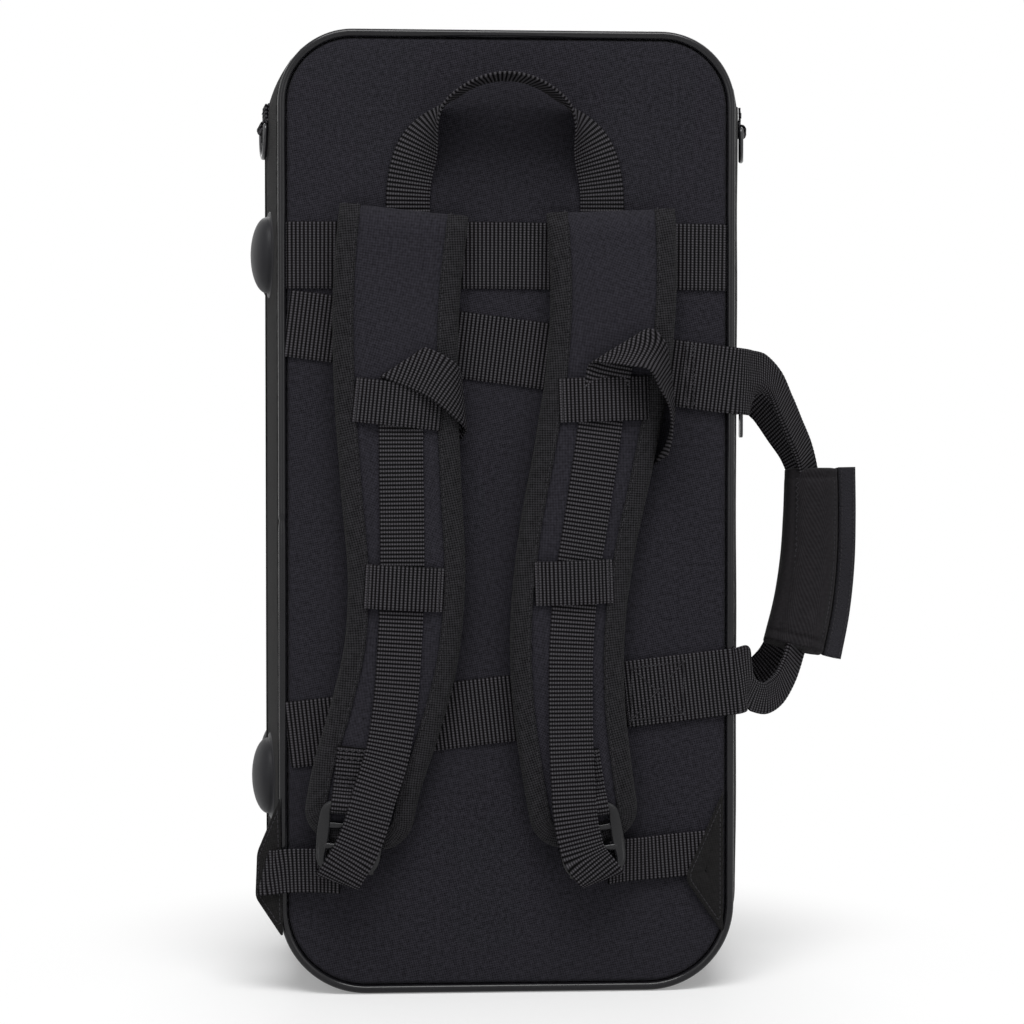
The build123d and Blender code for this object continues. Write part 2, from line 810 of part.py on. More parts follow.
left_tab_seam = -(panel_width / 2 + 2 * seam_gap)
with BuildPart() as left_anchor_tab:
    with BuildSketch(Plane.XZ.offset(back_face - web_thickness)):
        with BuildLine():
            Polyline(*[(left_tab_seam + out, height) for out, height in left_tab_corners], close=True)
        make_face()
    extrude(amount=web_thickness)
write(left_anchor_tab, "left_anchor_tab")
write(make_anchor_web(left_web_line), "left_anchor_web")
write(make_anchor_web(right_web_line), "right_anchor_web")

# ---------------------------------------------------------------- feet
with BuildPart() as foot:
    with BuildSketch(Plane.XZ):
        with BuildLine():
            dome_edge = foot_radius - 2 * foot_flange
            Polyline(
                (0, foot_height), (0, 0), (foot_radius, 0), (foot_radius, foot_flange), (dome_edge, foot_flange)
            )
            TangentArc((0, foot_height), (dome_edge, foot_flange), tangent=(1, 0))
        make_face()
    revolve(axis=Axis.Z)

for half, depth in (("back", -back_depth / 2), ("lid", lid_depth / 2)):
    with BuildPart() as feet:
        with Locations(*[wall_plane(-1, depth, height) for height in foot_heights]):
            add(foot.part)
    write(feet, f"{half}_feet")

# ---------------------------------------------------------------- rings for a shoulder strap
ring_depth = -30.0
eye_wall = 1.4
eye_radius = ring_wire + running_gap
ring_stand = eye_radius + eye_wall


def ring_tab_plane(side):
    """Plane across the eye of a ring tab: wall outwards, case upwards."""
    wall = wall_plane(side, ring_depth, ring_height)
    return Plane(origin=wall.origin, x_dir=wall.z_dir, z_dir=wall.z_dir.cross(UP))


def make_ring_tab(side):
    """Folded web sewn to the side wall, its eye holding the ring's bar."""
    with BuildPart() as tab:
        with BuildSketch(ring_tab_plane(side)):
            with Locations((ring_stand, 0)):
                Circle(eye_radius + eye_wall)
            with Locations((0, 0)):
                Rectangle(web_thickness, ring_tab_width * 0.6, align=(Align.MIN, Align.MIN))
            with Locations((ring_stand, 0)):
                Circle(eye_radius, mode=Mode.SUBTRACT)
        extrude(amount=ring_tab_width / 2, both=True)
    return tab


def make_d_ring(side):
    """Wire ring with a straight bar, hanging down flat beside the wall."""
    wall = wall_plane(side, ring_depth, ring_height)
    half = ring_width / 2
    with BuildPart() as ring:
        with BuildLine(wall.offset(ring_stand)) as wire:
            bar = Line((0, -half), (0, half))
            bow = ThreePointArc(bar @ 1, (-ring_drop, 0), bar @ 0)
            fillet(wire.vertices(), 2 * ring_wire)
        path = wire.wire()
        with BuildSketch(Plane(origin=path @ 0, z_dir=path % 0)):
            Circle(ring_wire)
        sweep(path=path)
    return ring


for name, side in (("left", -1), ("right", 1)):
    write(make_ring_tab(side), f"{name}_ring_tab")
    write(make_d_ring(side), f"{name}_d_ring")

# ---------------------------------------------------------------- zip sliders
coil_face = rim_half_width - channel_inset + tape_thickness + coil_height
tape_face = rim_half_width - channel_inset + tape_thickness
plate_face = coil_face + running_gap
lip_face = tape_face + running_gap
bridge_height = 3.6
bridge_width = 2.0
bridge_length = 8.0
pin_radius = 0.8
pin_stand = plate_face + slider_plate + bridge_height * 0.55
lip_side = -(half_split + coil_width + 2 * running_gap)


def make_slider(middle):
    """Slider body riding the back half of the coil, with a bridge for its pull."""
    with BuildPart() as slider:
        with BuildSketch(Plane.YZ.offset(plate_face)):
            with Locations((0, middle)):
                RectangleRounded(slider_width, slider_length, slider_width / 4)
        extrude(amount=slider_plate)
        with Locations(((lip_face + plate_face) / 2, (lip_side - slider_width / 2) / 2, middle)):
            Box(plate_face - lip_face, slider_width / 2 + lip_side, slider_length * 0.7)
        with Locations((plate_face + slider_plate, 0, middle)):
            Box(bridge_height, bridge_width, bridge_length, align=(Align.MIN, Align.CENTER, Align.CENTER))
        outer_end = slider.faces().sort_by(Axis.X)[-1]
        fillet(outer_end.edges().filter_by(Axis.Y), bridge_height * 0.45)
        with Locations(Plane(origin=(pin_stand, 0, middle), z_dir=(0, 1, 0))):
            Hole(pin_radius + running_gap)
    return slider


def make_pull(middle, side):
    """Pull tab beside the bridge, on a pin through it."""
    plate_start = bridge_width / 2 + 2 * running_gap
    pin_length = plate_start + (bridge_width + pull_thickness) / 2 + running_gap / 2
    with BuildPart() as pull:
        with BuildSketch(Plane.XZ.offset(-side * plate_start)):
            with Locations((pin_stand, middle + pull_thickness)):
                Rectangle(pull_thickness, pull_length, align=(Align.CENTER, Align.MAX))
        extrude(amount=-side * pull_width)
        fillet(pull.edges().filter_by(Axis.X).group_by(Axis.Z)[0], pull_width * 0.35)
        with BuildSketch(Plane.XZ.offset(-side * (plate_start + pull_thickness / 2))):
            with Locations((pin_stand, middle)):
                Circle(pin_radius)
        extrude(amount=side * pin_length)
    return pull


slider_spots = (
    ("upper", slider_meeting_height + (slider_length + seam_gap) / 2, 1),
    ("lower", slider_meeting_height - (slider_length + seam_gap) / 2, -1),
)
for name, middle, side in slider_spots:
    write(make_slider(middle), f"{name}_slider")
    write(make_pull(middle, side), f"{name}_pull")
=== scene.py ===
"""Trumpet case with backpack straps: cloth, webbing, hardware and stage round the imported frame.

Metres, with +Z up the case, +X to the carrying handle, -Y out of the back panel and +Y out of the
lid. Sizes are worked out from the split between the halves, and each finished mesh is moved from
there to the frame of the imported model.
"""

import logging
from dataclasses import dataclass, field
from enum import Enum
from math import atan2, cos, pi, radians, sin, sqrt
from typing import Callable, Optional, Sequence

import bmesh
import bpy
import numpy as np
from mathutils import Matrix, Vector


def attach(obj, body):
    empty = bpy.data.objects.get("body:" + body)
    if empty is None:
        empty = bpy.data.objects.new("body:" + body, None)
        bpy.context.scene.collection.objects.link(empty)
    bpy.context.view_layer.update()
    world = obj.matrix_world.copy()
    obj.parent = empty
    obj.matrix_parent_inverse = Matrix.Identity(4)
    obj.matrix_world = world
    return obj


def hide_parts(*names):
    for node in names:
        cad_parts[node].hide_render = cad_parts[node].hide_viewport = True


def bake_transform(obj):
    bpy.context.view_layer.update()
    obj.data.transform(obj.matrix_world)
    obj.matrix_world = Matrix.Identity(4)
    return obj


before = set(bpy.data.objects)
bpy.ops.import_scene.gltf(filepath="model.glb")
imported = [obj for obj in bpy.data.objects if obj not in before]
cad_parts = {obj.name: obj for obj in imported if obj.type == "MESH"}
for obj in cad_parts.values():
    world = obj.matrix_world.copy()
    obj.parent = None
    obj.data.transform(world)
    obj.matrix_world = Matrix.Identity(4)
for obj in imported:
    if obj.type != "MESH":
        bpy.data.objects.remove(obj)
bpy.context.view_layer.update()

LOG = logging.getLogger("trumpet_case")
MM = 0.001
SPLIT = 0.045
RIB_PITCH = 0.0023
RIB_STEP = RIB_PITCH / 6
STITCH = 0.0024
THREAD = 0.0003
OUT = np.array([0.0, -1.0, 0.0])
UP = np.array([0.0, 0.0, 1.0])
Points = np.ndarray
Rows = Sequence[Sequence[float]]
Colour = tuple[float, float, float]
Piece = bpy.types.Object
Material = bpy.types.Material
Tree = bpy.types.NodeTree
Socket = bpy.types.NodeSocket


class Half(Enum):
    """One half of the case, with its sign along Y."""

    BACK = -1
    LID = 1

    @property
    def body(self) -> str:
        """Name of the body that the half rides on."""
        return "case_back" if self is Half.BACK else "lid"

    @property
    def prefix(self) -> str:
        """Start of the names of the half's nodes."""
        return "back" if self is Half.BACK else "lid"


class Side(Enum):
    """Left or right of the back panel, with its sign along X."""

    LEFT = -1
    RIGHT = 1

    @property
    def prefix(self) -> str:
        """Start of the names of the side's nodes."""
        return self.name.lower()


class Lay(Enum):
    """Direction that a cloth's threads lie in."""

    PLAIN = 0.0
    TWILL = 0.7


# --- curves
def unit(rows: Points) -> Points:
    """Rows scaled to length one."""
    return rows / np.maximum(np.linalg.norm(rows, axis=-1, keepdims=True), 1e-12)


def respaced(rows: Points, spacing: float) -> Points:
    """Rows spaced evenly by the length of their first three columns.

    Args:
        rows: Points with any further columns that go with them.
        spacing: Distance between the new rows.

    Returns:
        The new rows, from the first given one to the last.
    """
    run = run_length(rows[:, :3])
    places = np.linspace(0, run[-1], max(3, int(round(run[-1] / spacing)) + 1))
    return np.stack([np.interp(places, run, column) for column in rows.T], axis=1)


def smooth_line(rows: Rows, spacing: float) -> Points:
    """Smooth curve through the given rows, evenly spaced.

    Args:
        rows: Points, with any further columns to be smoothed along with them.
        spacing: Distance between the new rows.

    Returns:
        The rows of the curve.
    """
    knots = np.asarray(rows, float)
    run = run_length(knots[:, :3])
    slope = np.gradient(knots, run, axis=0)
    places = np.linspace(0, run[-1], max(8, int(2 * run[-1] / spacing)))
    index = np.clip(np.searchsorted(run, places, side="right") - 1, 0, len(run) - 2)
    gap = (run[index + 1] - run[index])[:, None]
    t = (places[:, None] - run[index][:, None]) / gap
    curve = (2 * t**3 - 3 * t**2 + 1) * knots[index] + (t**3 - 2 * t**2 + t) * gap * slope[index]
    curve += (3 * t**2 - 2 * t**3) * knots[index + 1] + (t**3 - t**2) * gap * slope[index + 1]
    return respaced(curve, spacing)


def rounded_run(corners: Rows, radius: float, spacing: float) -> Points:
    """Straight runs with their corners rounded.

    Args:
        corners: Points that the runs join.
        radius: How far from a corner its rounding starts.
        spacing: Distance between the points of the result.

    Returns:
        Evenly spaced points.
    """
    knots = np.asarray(corners, float)
    rows = [knots[0]]
    for before, corner, after in zip(knots[:-2], knots[1:-1], knots[2:]):
        back, ahead = before - corner, after - corner
        reach = min(radius, np.linalg.norm(back) / 2, np.linalg.norm(ahead) / 2)
        start, end = corner + unit(back) * reach, corner + unit(ahead) * reach
        for t in np.linspace(0, 1, 9):
            rows.append((1 - t) ** 2 * start + 2 * t * (1 - t) * corner + t**2 * end)
    rows.append(knots[-1])
    return respaced(np.array(rows), spacing)


def tangents(line: Points, closed: bool = False) -> Points:
    """Unit directions along a line of points."""
    if closed:
        return unit(np.roll(line, -1, 0) - np.roll(line, 1, 0))
    return unit(np.gradient(line, axis=0))


def run_length(line: Points) -> Points:
    """Distance along a line at each of its points."""
    return np.concatenate([[0.0], np.cumsum(np.linalg.norm(np.diff(line, axis=0), axis=1))])


def texture(first: Points, second: Points) -> Points:
    """Texture places from two coordinates that are broadcast together."""
    return np.stack(np.broadcast_arrays(first, second), -1)


def ring_turns(count: int) -> Points:
    """Evenly spaced angles round a ring."""
    return np.linspace(0, 2 * pi, count, endpoint=False)


def in_panel(turn: float) -> Points:
    """Direction in the panel's plane, turned from +X to +Z by degrees."""
    return np.array([cos(radians(turn)), 0.0, sin(radians(turn))])


def ease(value: Points) -> Points:
    """Smooth step from 0 to 1."""
    t = np.clip(value, 0, 1)
    return t * t * (3 - 2 * t)


def ripple(a: Points, b: Points, scale: float, seed: int) -> Points:
    """Slow uneven waves between -1 and 1 over two coordinates in metres.

    Args:
        a: First coordinate.
        b: Second coordinate.
        scale: Length of a wave.
        seed: Start of the random phases.

    Returns:
        Height of the waves at each place.
    """
    draw = np.random.default_rng(seed)
    total = np.zeros(np.broadcast(a, b).shape)
    for _ in range(6):
        turn, phase = draw.uniform(0, 2 * pi, 2)
        stretch = draw.uniform(0.7, 1.6) * 2 * pi / scale
        total += np.sin(stretch * (a * cos(turn) + b * sin(turn)) + phase)
    return total / 6


# --- meshes
def ring_quads(rings: int, around: int, wrap_rows: bool = False, wrap_ring: bool = True) -> Points:
    """Faces between rings of points.

    Args:
        rings: How many rings.
        around: Points on each ring.
        wrap_rows: Whether the last ring joins the first.
        wrap_ring: Whether each ring is closed.

    Returns:
        Four point numbers for each face.
    """
    i = np.arange(rings if wrap_rows else rings - 1)[:, None]
    j = np.arange(around if wrap_ring else around - 1)[None, :]
    here, there, after = i * around, (i + 1) % rings * around, (j + 1) % around
    return np.stack([here + j, here + after, there + after, there + j], -1).reshape(-1, 4)


class MeshKit:
    """Collects the faces of one piece and makes its object."""

    def __init__(self) -> None:
        """Starts with no points and no faces."""
        self.points: list[Points] = []
        self.faces: list[Points] = []
        self.uvs: list[Points] = []
        self.count = 0

    def add(self, points: Points, faces: Points, uvs: Optional[Points] = None) -> None:
        """Adds points, faces that index them and a texture place for each point.

        Args:
            points: Points, one in each row.
            faces: Point numbers of each face.
            uvs: Place on the cloth of each point.
        """
        self.points.append(points)
        self.faces += [face + self.count for face in faces]
        self.uvs.append(np.zeros((len(points), 2)) if uvs is None else uvs)
        self.count += len(points)

    def grid(self, rows: Points, uvs: Points, wrap_rows: bool = False, wrap_ring: bool = True,
             caps: bool = True) -> None:
        """Adds a skin over rings of points.

        Args:
            rows: Points by ring, by place on the ring and by coordinate.
            uvs: Texture places, shaped like rows.
            wrap_rows: Whether the last ring joins the first.
            wrap_ring: Whether each ring is closed.
            caps: Whether the end rings are filled.
        """
        n, m = rows.shape[:2]
        faces = list(ring_quads(n, m, wrap_rows, wrap_ring))
        if caps and wrap_ring and not wrap_rows:
            faces += [np.arange(m)[::-1], (n - 1) * m + np.arange(m)]
        self.add(rows.reshape(-1, 3), faces, uvs.reshape(-1, 2))

    def make(self, name: str, material: Material) -> Piece:
        """Makes the object.

        Args:
            name: Name of the piece.
            material: Its material.

        Returns:
            The new object, in the scene.
        """
        mesh = bpy.data.meshes.new(name)
        points = np.concatenate(self.points) + np.array([0.0, SPLIT, 0.0])
        mesh.from_pydata(points.tolist(), [], [face.tolist() for face in self.faces])
        places = np.concatenate(self.uvs)
        layer = mesh.uv_layers.new(name="cut")
        corner = np.zeros(len(mesh.loops), np.int64)
        mesh.loops.foreach_get("vertex_index", corner)
        layer.data.foreach_set("uv", places[corner].astype(np.float32).ravel())
        mesh.polygons.foreach_set("use_smooth", np.ones(len(mesh.polygons), bool))
        mesh.materials.append(material)
        mesh.validate()
        piece = bpy.data.objects.new(name, mesh)
        bpy.context.scene.collection.objects.link(piece)
        turn_outwards(piece)
        return piece


def turn_outwards(piece: Piece, weld: float = 0.0) -> None:
    """Turns all faces of a piece outwards.

    Args:
        piece: The piece.
        weld: Distance within which points are joined first.
    """
    work = bmesh.new()
    work.from_mesh(piece.data)
    if weld:
        bmesh.ops.remove_doubles(work, verts=work.verts, dist=weld)
    bmesh.ops.recalc_face_normals(work, faces=work.faces)
    work.to_mesh(piece.data)
    work.free()


def settle(piece: Piece, body: str, replaces: Sequence[str] = ()) -> Piece:
    """Puts a piece on its body, hides the nodes it replaces and reports it.

    Args:
        piece: The finished piece.
        body: Body that it rides on.
        replaces: Nodes of the frame that it stands for.

    Returns:
        The piece.
    """
    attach(piece, body)
    return label(piece, replaces)


def join_bodies(piece: Piece, first: str, start: Sequence[float],
                end: Sequence[float], replaces: Sequence[str] = ()) -> Piece:
    """Bakes a piece's place into its mesh, hides the nodes it replaces and reports it.

    Args:
        piece: The finished piece.
        first: Body that it follows before start; not used.
        start: Where the bend starts.
        end: Where the bend ends.
        replaces: Nodes of the frame that it stands for.

    Returns:
        The piece.
    """
    begin, finish = ((place[0], place[1] + SPLIT, place[2]) for place in (start, end))
    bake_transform(piece)
    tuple(begin)
    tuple(finish)
    return label(piece, replaces)


def label(piece: Piece, replaces: Sequence[str] = ()) -> Piece:
    """Hides the replaced nodes of a piece, and reports it.

    Args:
        piece: The piece.
        replaces: Names of the parts that it stands for.

    Returns:
        The piece.
    """
    if replaces:
        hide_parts(*replaces)
    LOG.info("%s: %d faces", piece.name, len(piece.data.polygons))
    return piece


def tube(kit: MeshKit, line: Points, radius: Points | float, closed: bool = False,
         around: int = 12) -> None:
    """Adds a round tube along a line.

    Args:
        kit: Where the faces go.
        line: Points of its middle line.
        radius: Its radius, or one for each point.
        closed: Whether the line is a loop.
        around: Points on each ring.
    """
    run = tangents(line, closed)
    reference = np.tile(np.array([0.0, 1.0, 0.0]), (len(line), 1))
    flat = np.abs((run * reference).sum(1)) > 0.9
    reference[flat] = (1.0, 0.0, 0.0)
    side = unit(np.cross(run, reference))
    for row in range(1, len(line)):
        carried = side[row - 1] - run[row] * np.dot(side[row - 1], run[row])
        side[row] = carried / np.linalg.norm(carried)
    if closed:
        side = unit(np.cross(run, np.tile(np.array([0.0, 1.0, 0.0]), (len(line), 1))))
    other = np.cross(run, side)
    turn = ring_turns(around)
    size = np.broadcast_to(np.asarray(radius, float), (len(line),))[:, None, None]
    ring = side[:, None] * np.cos(turn)[:, None] + other[:, None] * np.sin(turn)[:, None]
    length = run_length(line)
    uvs = texture(length[:, None], turn * np.mean(size))
    kit.grid(line[:, None] + ring * size, uvs, wrap_rows=closed)


def ribbon(kit: MeshKit, line: Points, across: Points, width: Points | float, thickness: float,
           relief: float = 0.00028, fold: Optional[Points] = None, skewed: bool = False) -> None:
    """Adds ribbed webbing along a line.

    Args:
        kit: Where the faces go.
        line: Points of its middle line, several for each rib.
        across: Direction across the webbing, or one for each point.
        width: Width, or one for each point.
        thickness: Thickness of the webbing.
        relief: Depth of the grooves between its ribs.
        fold: How far it is folded lengthwise at each point, from 0, flat, to 1, double.
        skewed: Whether rows may lie aslant, as they do along a crease.
    """
    run = tangents(line)
    across = np.broadcast_to(across, line.shape)
    if not skewed:
        across = across - run * (across * run).sum(1)[:, None]
    across = unit(across)
    normal = unit(np.cross(run, across))
    slant = (across * run).sum(1)[:, None]
    square = np.sqrt(1 - slant**2)
    length = run_length(line)
    wide = np.broadcast_to(np.asarray(width, float), (len(line),))[:, None]
    edge = np.array([0.5, 0.494, 0.47, 0.43, 0.34, 0.22, 0.1, 0.04])
    steps = np.concatenate([edge, [0.0], -edge[::-1]])
    lens = np.array([0.3, 0.75, 1.0, 1.08, 1.0, 1.0, 1.0, 1.0])
    body = np.concatenate([lens, [1.0], lens[::-1]])
    places = steps[None, :] * wide / square
    angle = np.zeros_like(places)
    shift = np.zeros((len(line), 1))
    if fold is not None:
        angle = ease((0.0018 - places) / 0.0036) * fold[:, None] * pi * 0.96
        shift = fold[:, None] * wide / 4
    gaps = np.diff(places, axis=1)
    middle = (angle[:, 1:] + angle[:, :-1]) / 2
    along = np.concatenate([np.zeros((len(line), 1)), np.cumsum(gaps * np.cos(middle), 1)], 1)
    away = np.concatenate([np.zeros((len(line), 1)), np.cumsum(gaps * np.sin(middle), 1)], 1)
    along += wide / square / 2 - shift
    skin = line[:, None] + across[:, None] * along[..., None] + normal[:, None] * away[..., None]
    face = across[:, None] * -np.sin(angle)[..., None] + normal[:, None] * np.cos(angle)[..., None]
    ribs = (length[:, None] + places * slant) / RIB_PITCH
    groove = 1 - np.sqrt(np.abs(np.sin(pi * ribs)))
    half = (thickness / 2 * body[None, :] - relief * groove)[..., None]
    rings = np.concatenate([skin + face * half, (skin - face * half)[:, ::-1]], 1)
    uvs = texture(ribs, places * square)
    kit.grid(rings, np.concatenate([uvs, uvs[:, ::-1]], 1))


def crease(point: Points, run: Points, axis: Points, out: Points, radius: float) -> Points:
    """Middle line of a band that is folded over along a slanting crease.

    Args:
        point: Where the fold starts on the middle line.
        run: Direction of the band before it.
        axis: Direction of the crease.
        out: Direction that the band is folded over to.
        radius: Radius of the bend.

    Returns:
        Rows of points and the directions of the crease.
    """
    along = run @ axis
    beside = run - axis * along
    reach = np.linalg.norm(beside)
    beside = beside / reach
    turns = np.linspace(0, pi, 13)
    step = radius * (turns[1] - turns[0]) / reach
    bent = beside * np.cos(turns)[:, None] + out * np.sin(turns)[:, None]
    heading = axis * along + reach * bent
    moves = (heading[1:] + heading[:-1]) / 2 * step
    spots = point + np.concatenate([np.zeros((1, 3)), np.cumsum(moves, 0)])
    return np.concatenate([spots, np.tile(axis, (len(spots), 1))], 1)


def stitches(kit: MeshKit, line: Points, out: Points, pitch: float = 0.0032, sink: float = 0.25,
             slant: float = 0.0) -> None:
    """Adds a row of stitches along a line.

    Args:
        kit: Where the faces go.
        line: Points of the row on the cloth.
        out: Direction out of the cloth, or one for each point.
        pitch: Distance from stitch to stitch.
        sink: How deep the thread lies in the cloth, in radii.
        slant: Sideways half swing of each stitch, for a zigzag.
    """
    rows = respaced(np.concatenate([line, np.broadcast_to(out, line.shape)], 1), pitch)
    middle, away = rows[:, :3], unit(rows[:, 3:])
    run = tangents(middle)
    side = np.cross(run, away)
    swing = np.where(np.arange(len(rows)) % 2 == 0, slant, -slant)[:, None]
    heading = unit(run * STITCH + side * 2 * swing)
    reach = STITCH if slant == 0 else sqrt(pitch**2 + (2 * slant) ** 2)
    beside = np.cross(heading, away)
    turn = ring_turns(6)
    stations = np.array([-0.5, -0.32, 0.32, 0.5])
    girth = np.array([0.3, 1.0, 1.0, 0.3])
    depth = np.array([-0.9, 0.0, 0.0, -0.9])
    ring = beside[:, None, None] * np.cos(turn)[None, None, :, None]
    ring = ring + away[:, None, None] * np.sin(turn)[None, None, :, None]
    spine = middle[:, None] + heading[:, None] * (stations * reach)[None, :, None]
    spine = spine + away[:, None] * (THREAD * (depth - sink + 0.4))[None, :, None]
    points = spine[:, :, None] + ring * (THREAD * girth)[None, :, None, None]
    rings, around = len(stations), len(turn)
    starts = np.arange(len(rows)) * rings * around
    faces = list((ring_quads(rings, around) + starts[:, None, None]).reshape(-1, 4))
    for start in starts:
        faces.append(start + np.arange(around)[::-1])
        faces.append(start + (rings - 1) * around + np.arange(around))
    kit.add(points.reshape(-1, 3), faces)


def turned(kit: MeshKit, centre: Points, axis: Points, profile: Rows) -> None:
    """Adds a turned form.

    Args:
        kit: Where the faces go.
        centre: Point on its axis.
        axis: Direction of its axis.
        profile: Radius and distance along the axis, from foot to tip.
    """
    up = axis / np.linalg.norm(axis)
    side = unit(np.cross(up, UP))
    other = np.cross(up, side)
    turn = ring_turns(64)
    shape = np.asarray(profile, float)
    ring = side * np.cos(turn)[:, None] + other * np.sin(turn)[:, None]
    rows = centre + shape[:, 1][:, None, None] * up + shape[:, 0][:, None, None] * ring[None]
    run = run_length(np.column_stack([shape, np.zeros(len(shape))]))
    uvs = texture(run[:, None], turn * shape[:, 0].max())
    kit.grid(rows, uvs)


# --- finishes
FLOAT, VECTOR = "NodeSocketFloat", "NodeSocketVector"


def feed(tree: Tree, value: object, target: Socket) -> None:
    """Joins a socket to an input, or sets the input to a number or colour."""
    if isinstance(value, Socket):
        tree.links.new(value, target)
    else:
        target.default_value = value


def maths(tree: Tree, operation: str, *values: object) -> Socket:
    """Adds a Math node.

    Args:
        tree: Where the node goes.
        operation: Its operation.
        values: Numbers or sockets for its inputs.

    Returns:
        Its output.
    """
    node = tree.nodes.new("ShaderNodeMath")
    node.operation = operation
    for target, value in zip(node.inputs, values):
        feed(tree, value, target)
    return node.outputs[0]


def times(tree: Tree, first: object, second: object) -> Socket:
    """Multiplies two numbers or sockets."""
    return maths(tree, "MULTIPLY", first, second)


def scaled(tree: Tree, value: object, factor: object, offset: object) -> Socket:
    """Multiplies a value by a factor and adds an offset."""
    return maths(tree, "MULTIPLY_ADD", value, factor, offset)


def noise(tree: Tree, place: Socket, scale: object, detail: float = 3.0,
          rough: float = 0.55) -> Socket:
    """Adds a noise texture and returns its value.

    Args:
        tree: Node tree that takes it.
        place: Socket of the place.
        scale: How fine it is, a value or a socket.
        detail: Levels of detail.
        rough: Share of the finer levels.

    Returns:
        The socket of the result.
    """
    node = tree.nodes.new("ShaderNodeTexNoise")
    node.inputs["Detail"].default_value = detail
    node.inputs["Roughness"].default_value = rough
    feed(tree, place, node.inputs["Vector"])
    feed(tree, scale, node.inputs["Scale"])
    return node.outputs[0]


def group_tree(name: str, inputs: dict[str, tuple[str, Optional[float]]], outputs: Sequence[str]
               ) -> tuple[Tree, bpy.types.Node, bpy.types.Node]:
    """Starts a node group.

    Args:
        name: Name of the group.
        inputs: Socket kind and default by name.
        outputs: Names of its value outputs.

    Returns:
        The group, its input node and its output node.
    """
    group = bpy.data.node_groups.new(name, "ShaderNodeTree")
    for title, (kind, default) in inputs.items():
        made = group.interface.new_socket(name=title, in_out="INPUT", socket_type=kind)
        if default is not None:
            made.default_value = default
    for title in outputs:
        group.interface.new_socket(name=title, in_out="OUTPUT", socket_type=FLOAT)
    return group, group.nodes.new("NodeGroupInput"), group.nodes.new("NodeGroupOutput")


def thread_group() -> Tree:
    """Crossing threads of a woven cloth: height and shade from a place in metres.

    Returns:
        The node group.
    """
    group, given, out = group_tree(
        "crossing_threads",
        {"Place": (VECTOR, None), "Pitch": (FLOAT, 0.0007), "Slant": (FLOAT, 0.7),
         "Unevenness": (FLOAT, 0.3)},
        ("Height", "Shade"),
    )
    split = group.nodes.new("ShaderNodeSeparateXYZ")
    feed(group, given.outputs["Place"], split.inputs[0])
    turns = maths(group, "DIVIDE", 2 * pi, given.outputs["Pitch"])
    across = times(group, split.outputs[0], turns)
    along = times(group, split.outputs[1], turns)
    slanted = scaled(group, along, given.outputs["Slant"], across)
    weft = maths(group, "SINE", slanted)
    warp = maths(group, "SINE", scaled(group, across, times(group, given.outputs["Slant"], -1.0),
                                       along))
    threads = scaled(group, times(group, weft, warp), 0.5, 0.5)
    fuzz = noise(group, given.outputs["Place"], maths(group, "DIVIDE", 0.7, given.outputs["Pitch"]),
                 2.0)
    uneven = times(group, maths(group, "SUBTRACT", fuzz, 0.5), given.outputs["Unevenness"])
    height = maths(group, "ADD", threads, uneven)
    feed(group, height, out.inputs["Height"])
    feed(group, height, out.inputs["Shade"])
    return group


def rib_group() -> Tree:
    """Ribs of heavy webbing: height, and a shade of painted light, bright on the crests and dark in
    the grooves as painted shade, from ribs along and metres across.

    Returns:
        The node group.
    """
    group, given, out = group_tree(
        "webbing_ribs",
        {"Place": (VECTOR, None), "Yarns per metre": (FLOAT, 1500.0), "Groove": (FLOAT, 0.6)},
        ("Height", "Shade"),
    )
    split = group.nodes.new("ShaderNodeSeparateXYZ")
    feed(group, given.outputs["Place"], split.inputs[0])
    crest = maths(group, "ABSOLUTE", maths(group, "SINE", times(group, split.outputs[0], pi)))
    painted_rib_light = maths(group, "POWER", crest, given.outputs["Groove"])
    wave = times(group, times(group, split.outputs[1], given.outputs["Yarns per metre"]), 2 * pi)
    yarn = scaled(group, maths(group, "SINE", wave), 0.5, 0.5)
    odd = scaled(group, maths(group, "SINE", times(group, split.outputs[0], 2 * pi)), 0.25, 0.75)
    height = scaled(group, times(group, yarn, odd), 0.35, times(group, crest, 0.65))
    feed(group, height, out.inputs["Height"])
    # Shade: painted light from the rib profile, bright on the crests as a painted highlight and
    # near zero in the grooves as painted shade, with yarn dots over it.
    feed(group, times(group, painted_rib_light, scaled(group, yarn, 0.75, 0.25)), out.inputs["Shade"])
    return group


def wear_group() -> Tree:
    """Slow patches of handling and lint: a mask from a place in metres.

    Returns:
        The node group.
    """
    group, given, out = group_tree(
        "handling_wear", {"Place": (VECTOR, None), "Patch": (FLOAT, 14.0), "Fleck": (FLOAT, 900.0)},
                                   ("Mask", "Lint")
    )
    patch = noise(group, given.outputs["Place"], given.outputs["Patch"], 4.0)
    feed(group, scaled(group, patch, 2.4, -0.7), out.inputs["Mask"])
    fleck = noise(group, given.outputs["Place"], given.outputs["Fleck"], 1.0)
    feed(group, maths(group, "GREATER_THAN", fleck, 0.72), out.inputs["Lint"])
    return group


GROUPS: dict[str, Tree] = {}


def effect(tree: Tree, build: Callable[[], Tree], place: Socket,
           **values: float) -> bpy.types.Node:
    """Places a shared effect in a material, built once.

    Args:
        tree: The material's nodes.
        build: Makes the node group.
        place: Where the effect reads its place.
        values: Numbers for its inputs, with underscores for spaces.

    Returns:
        The group node.
    """
    name = build.__name__
    if name not in GROUPS:
        GROUPS[name] = build()
    node = tree.nodes.new("ShaderNodeGroup")
    node.node_tree = GROUPS[name]
    feed(tree, place, node.inputs["Place"])
    for key, value in values.items():
        node.inputs[key.replace("_", " ")].default_value = value
    return node


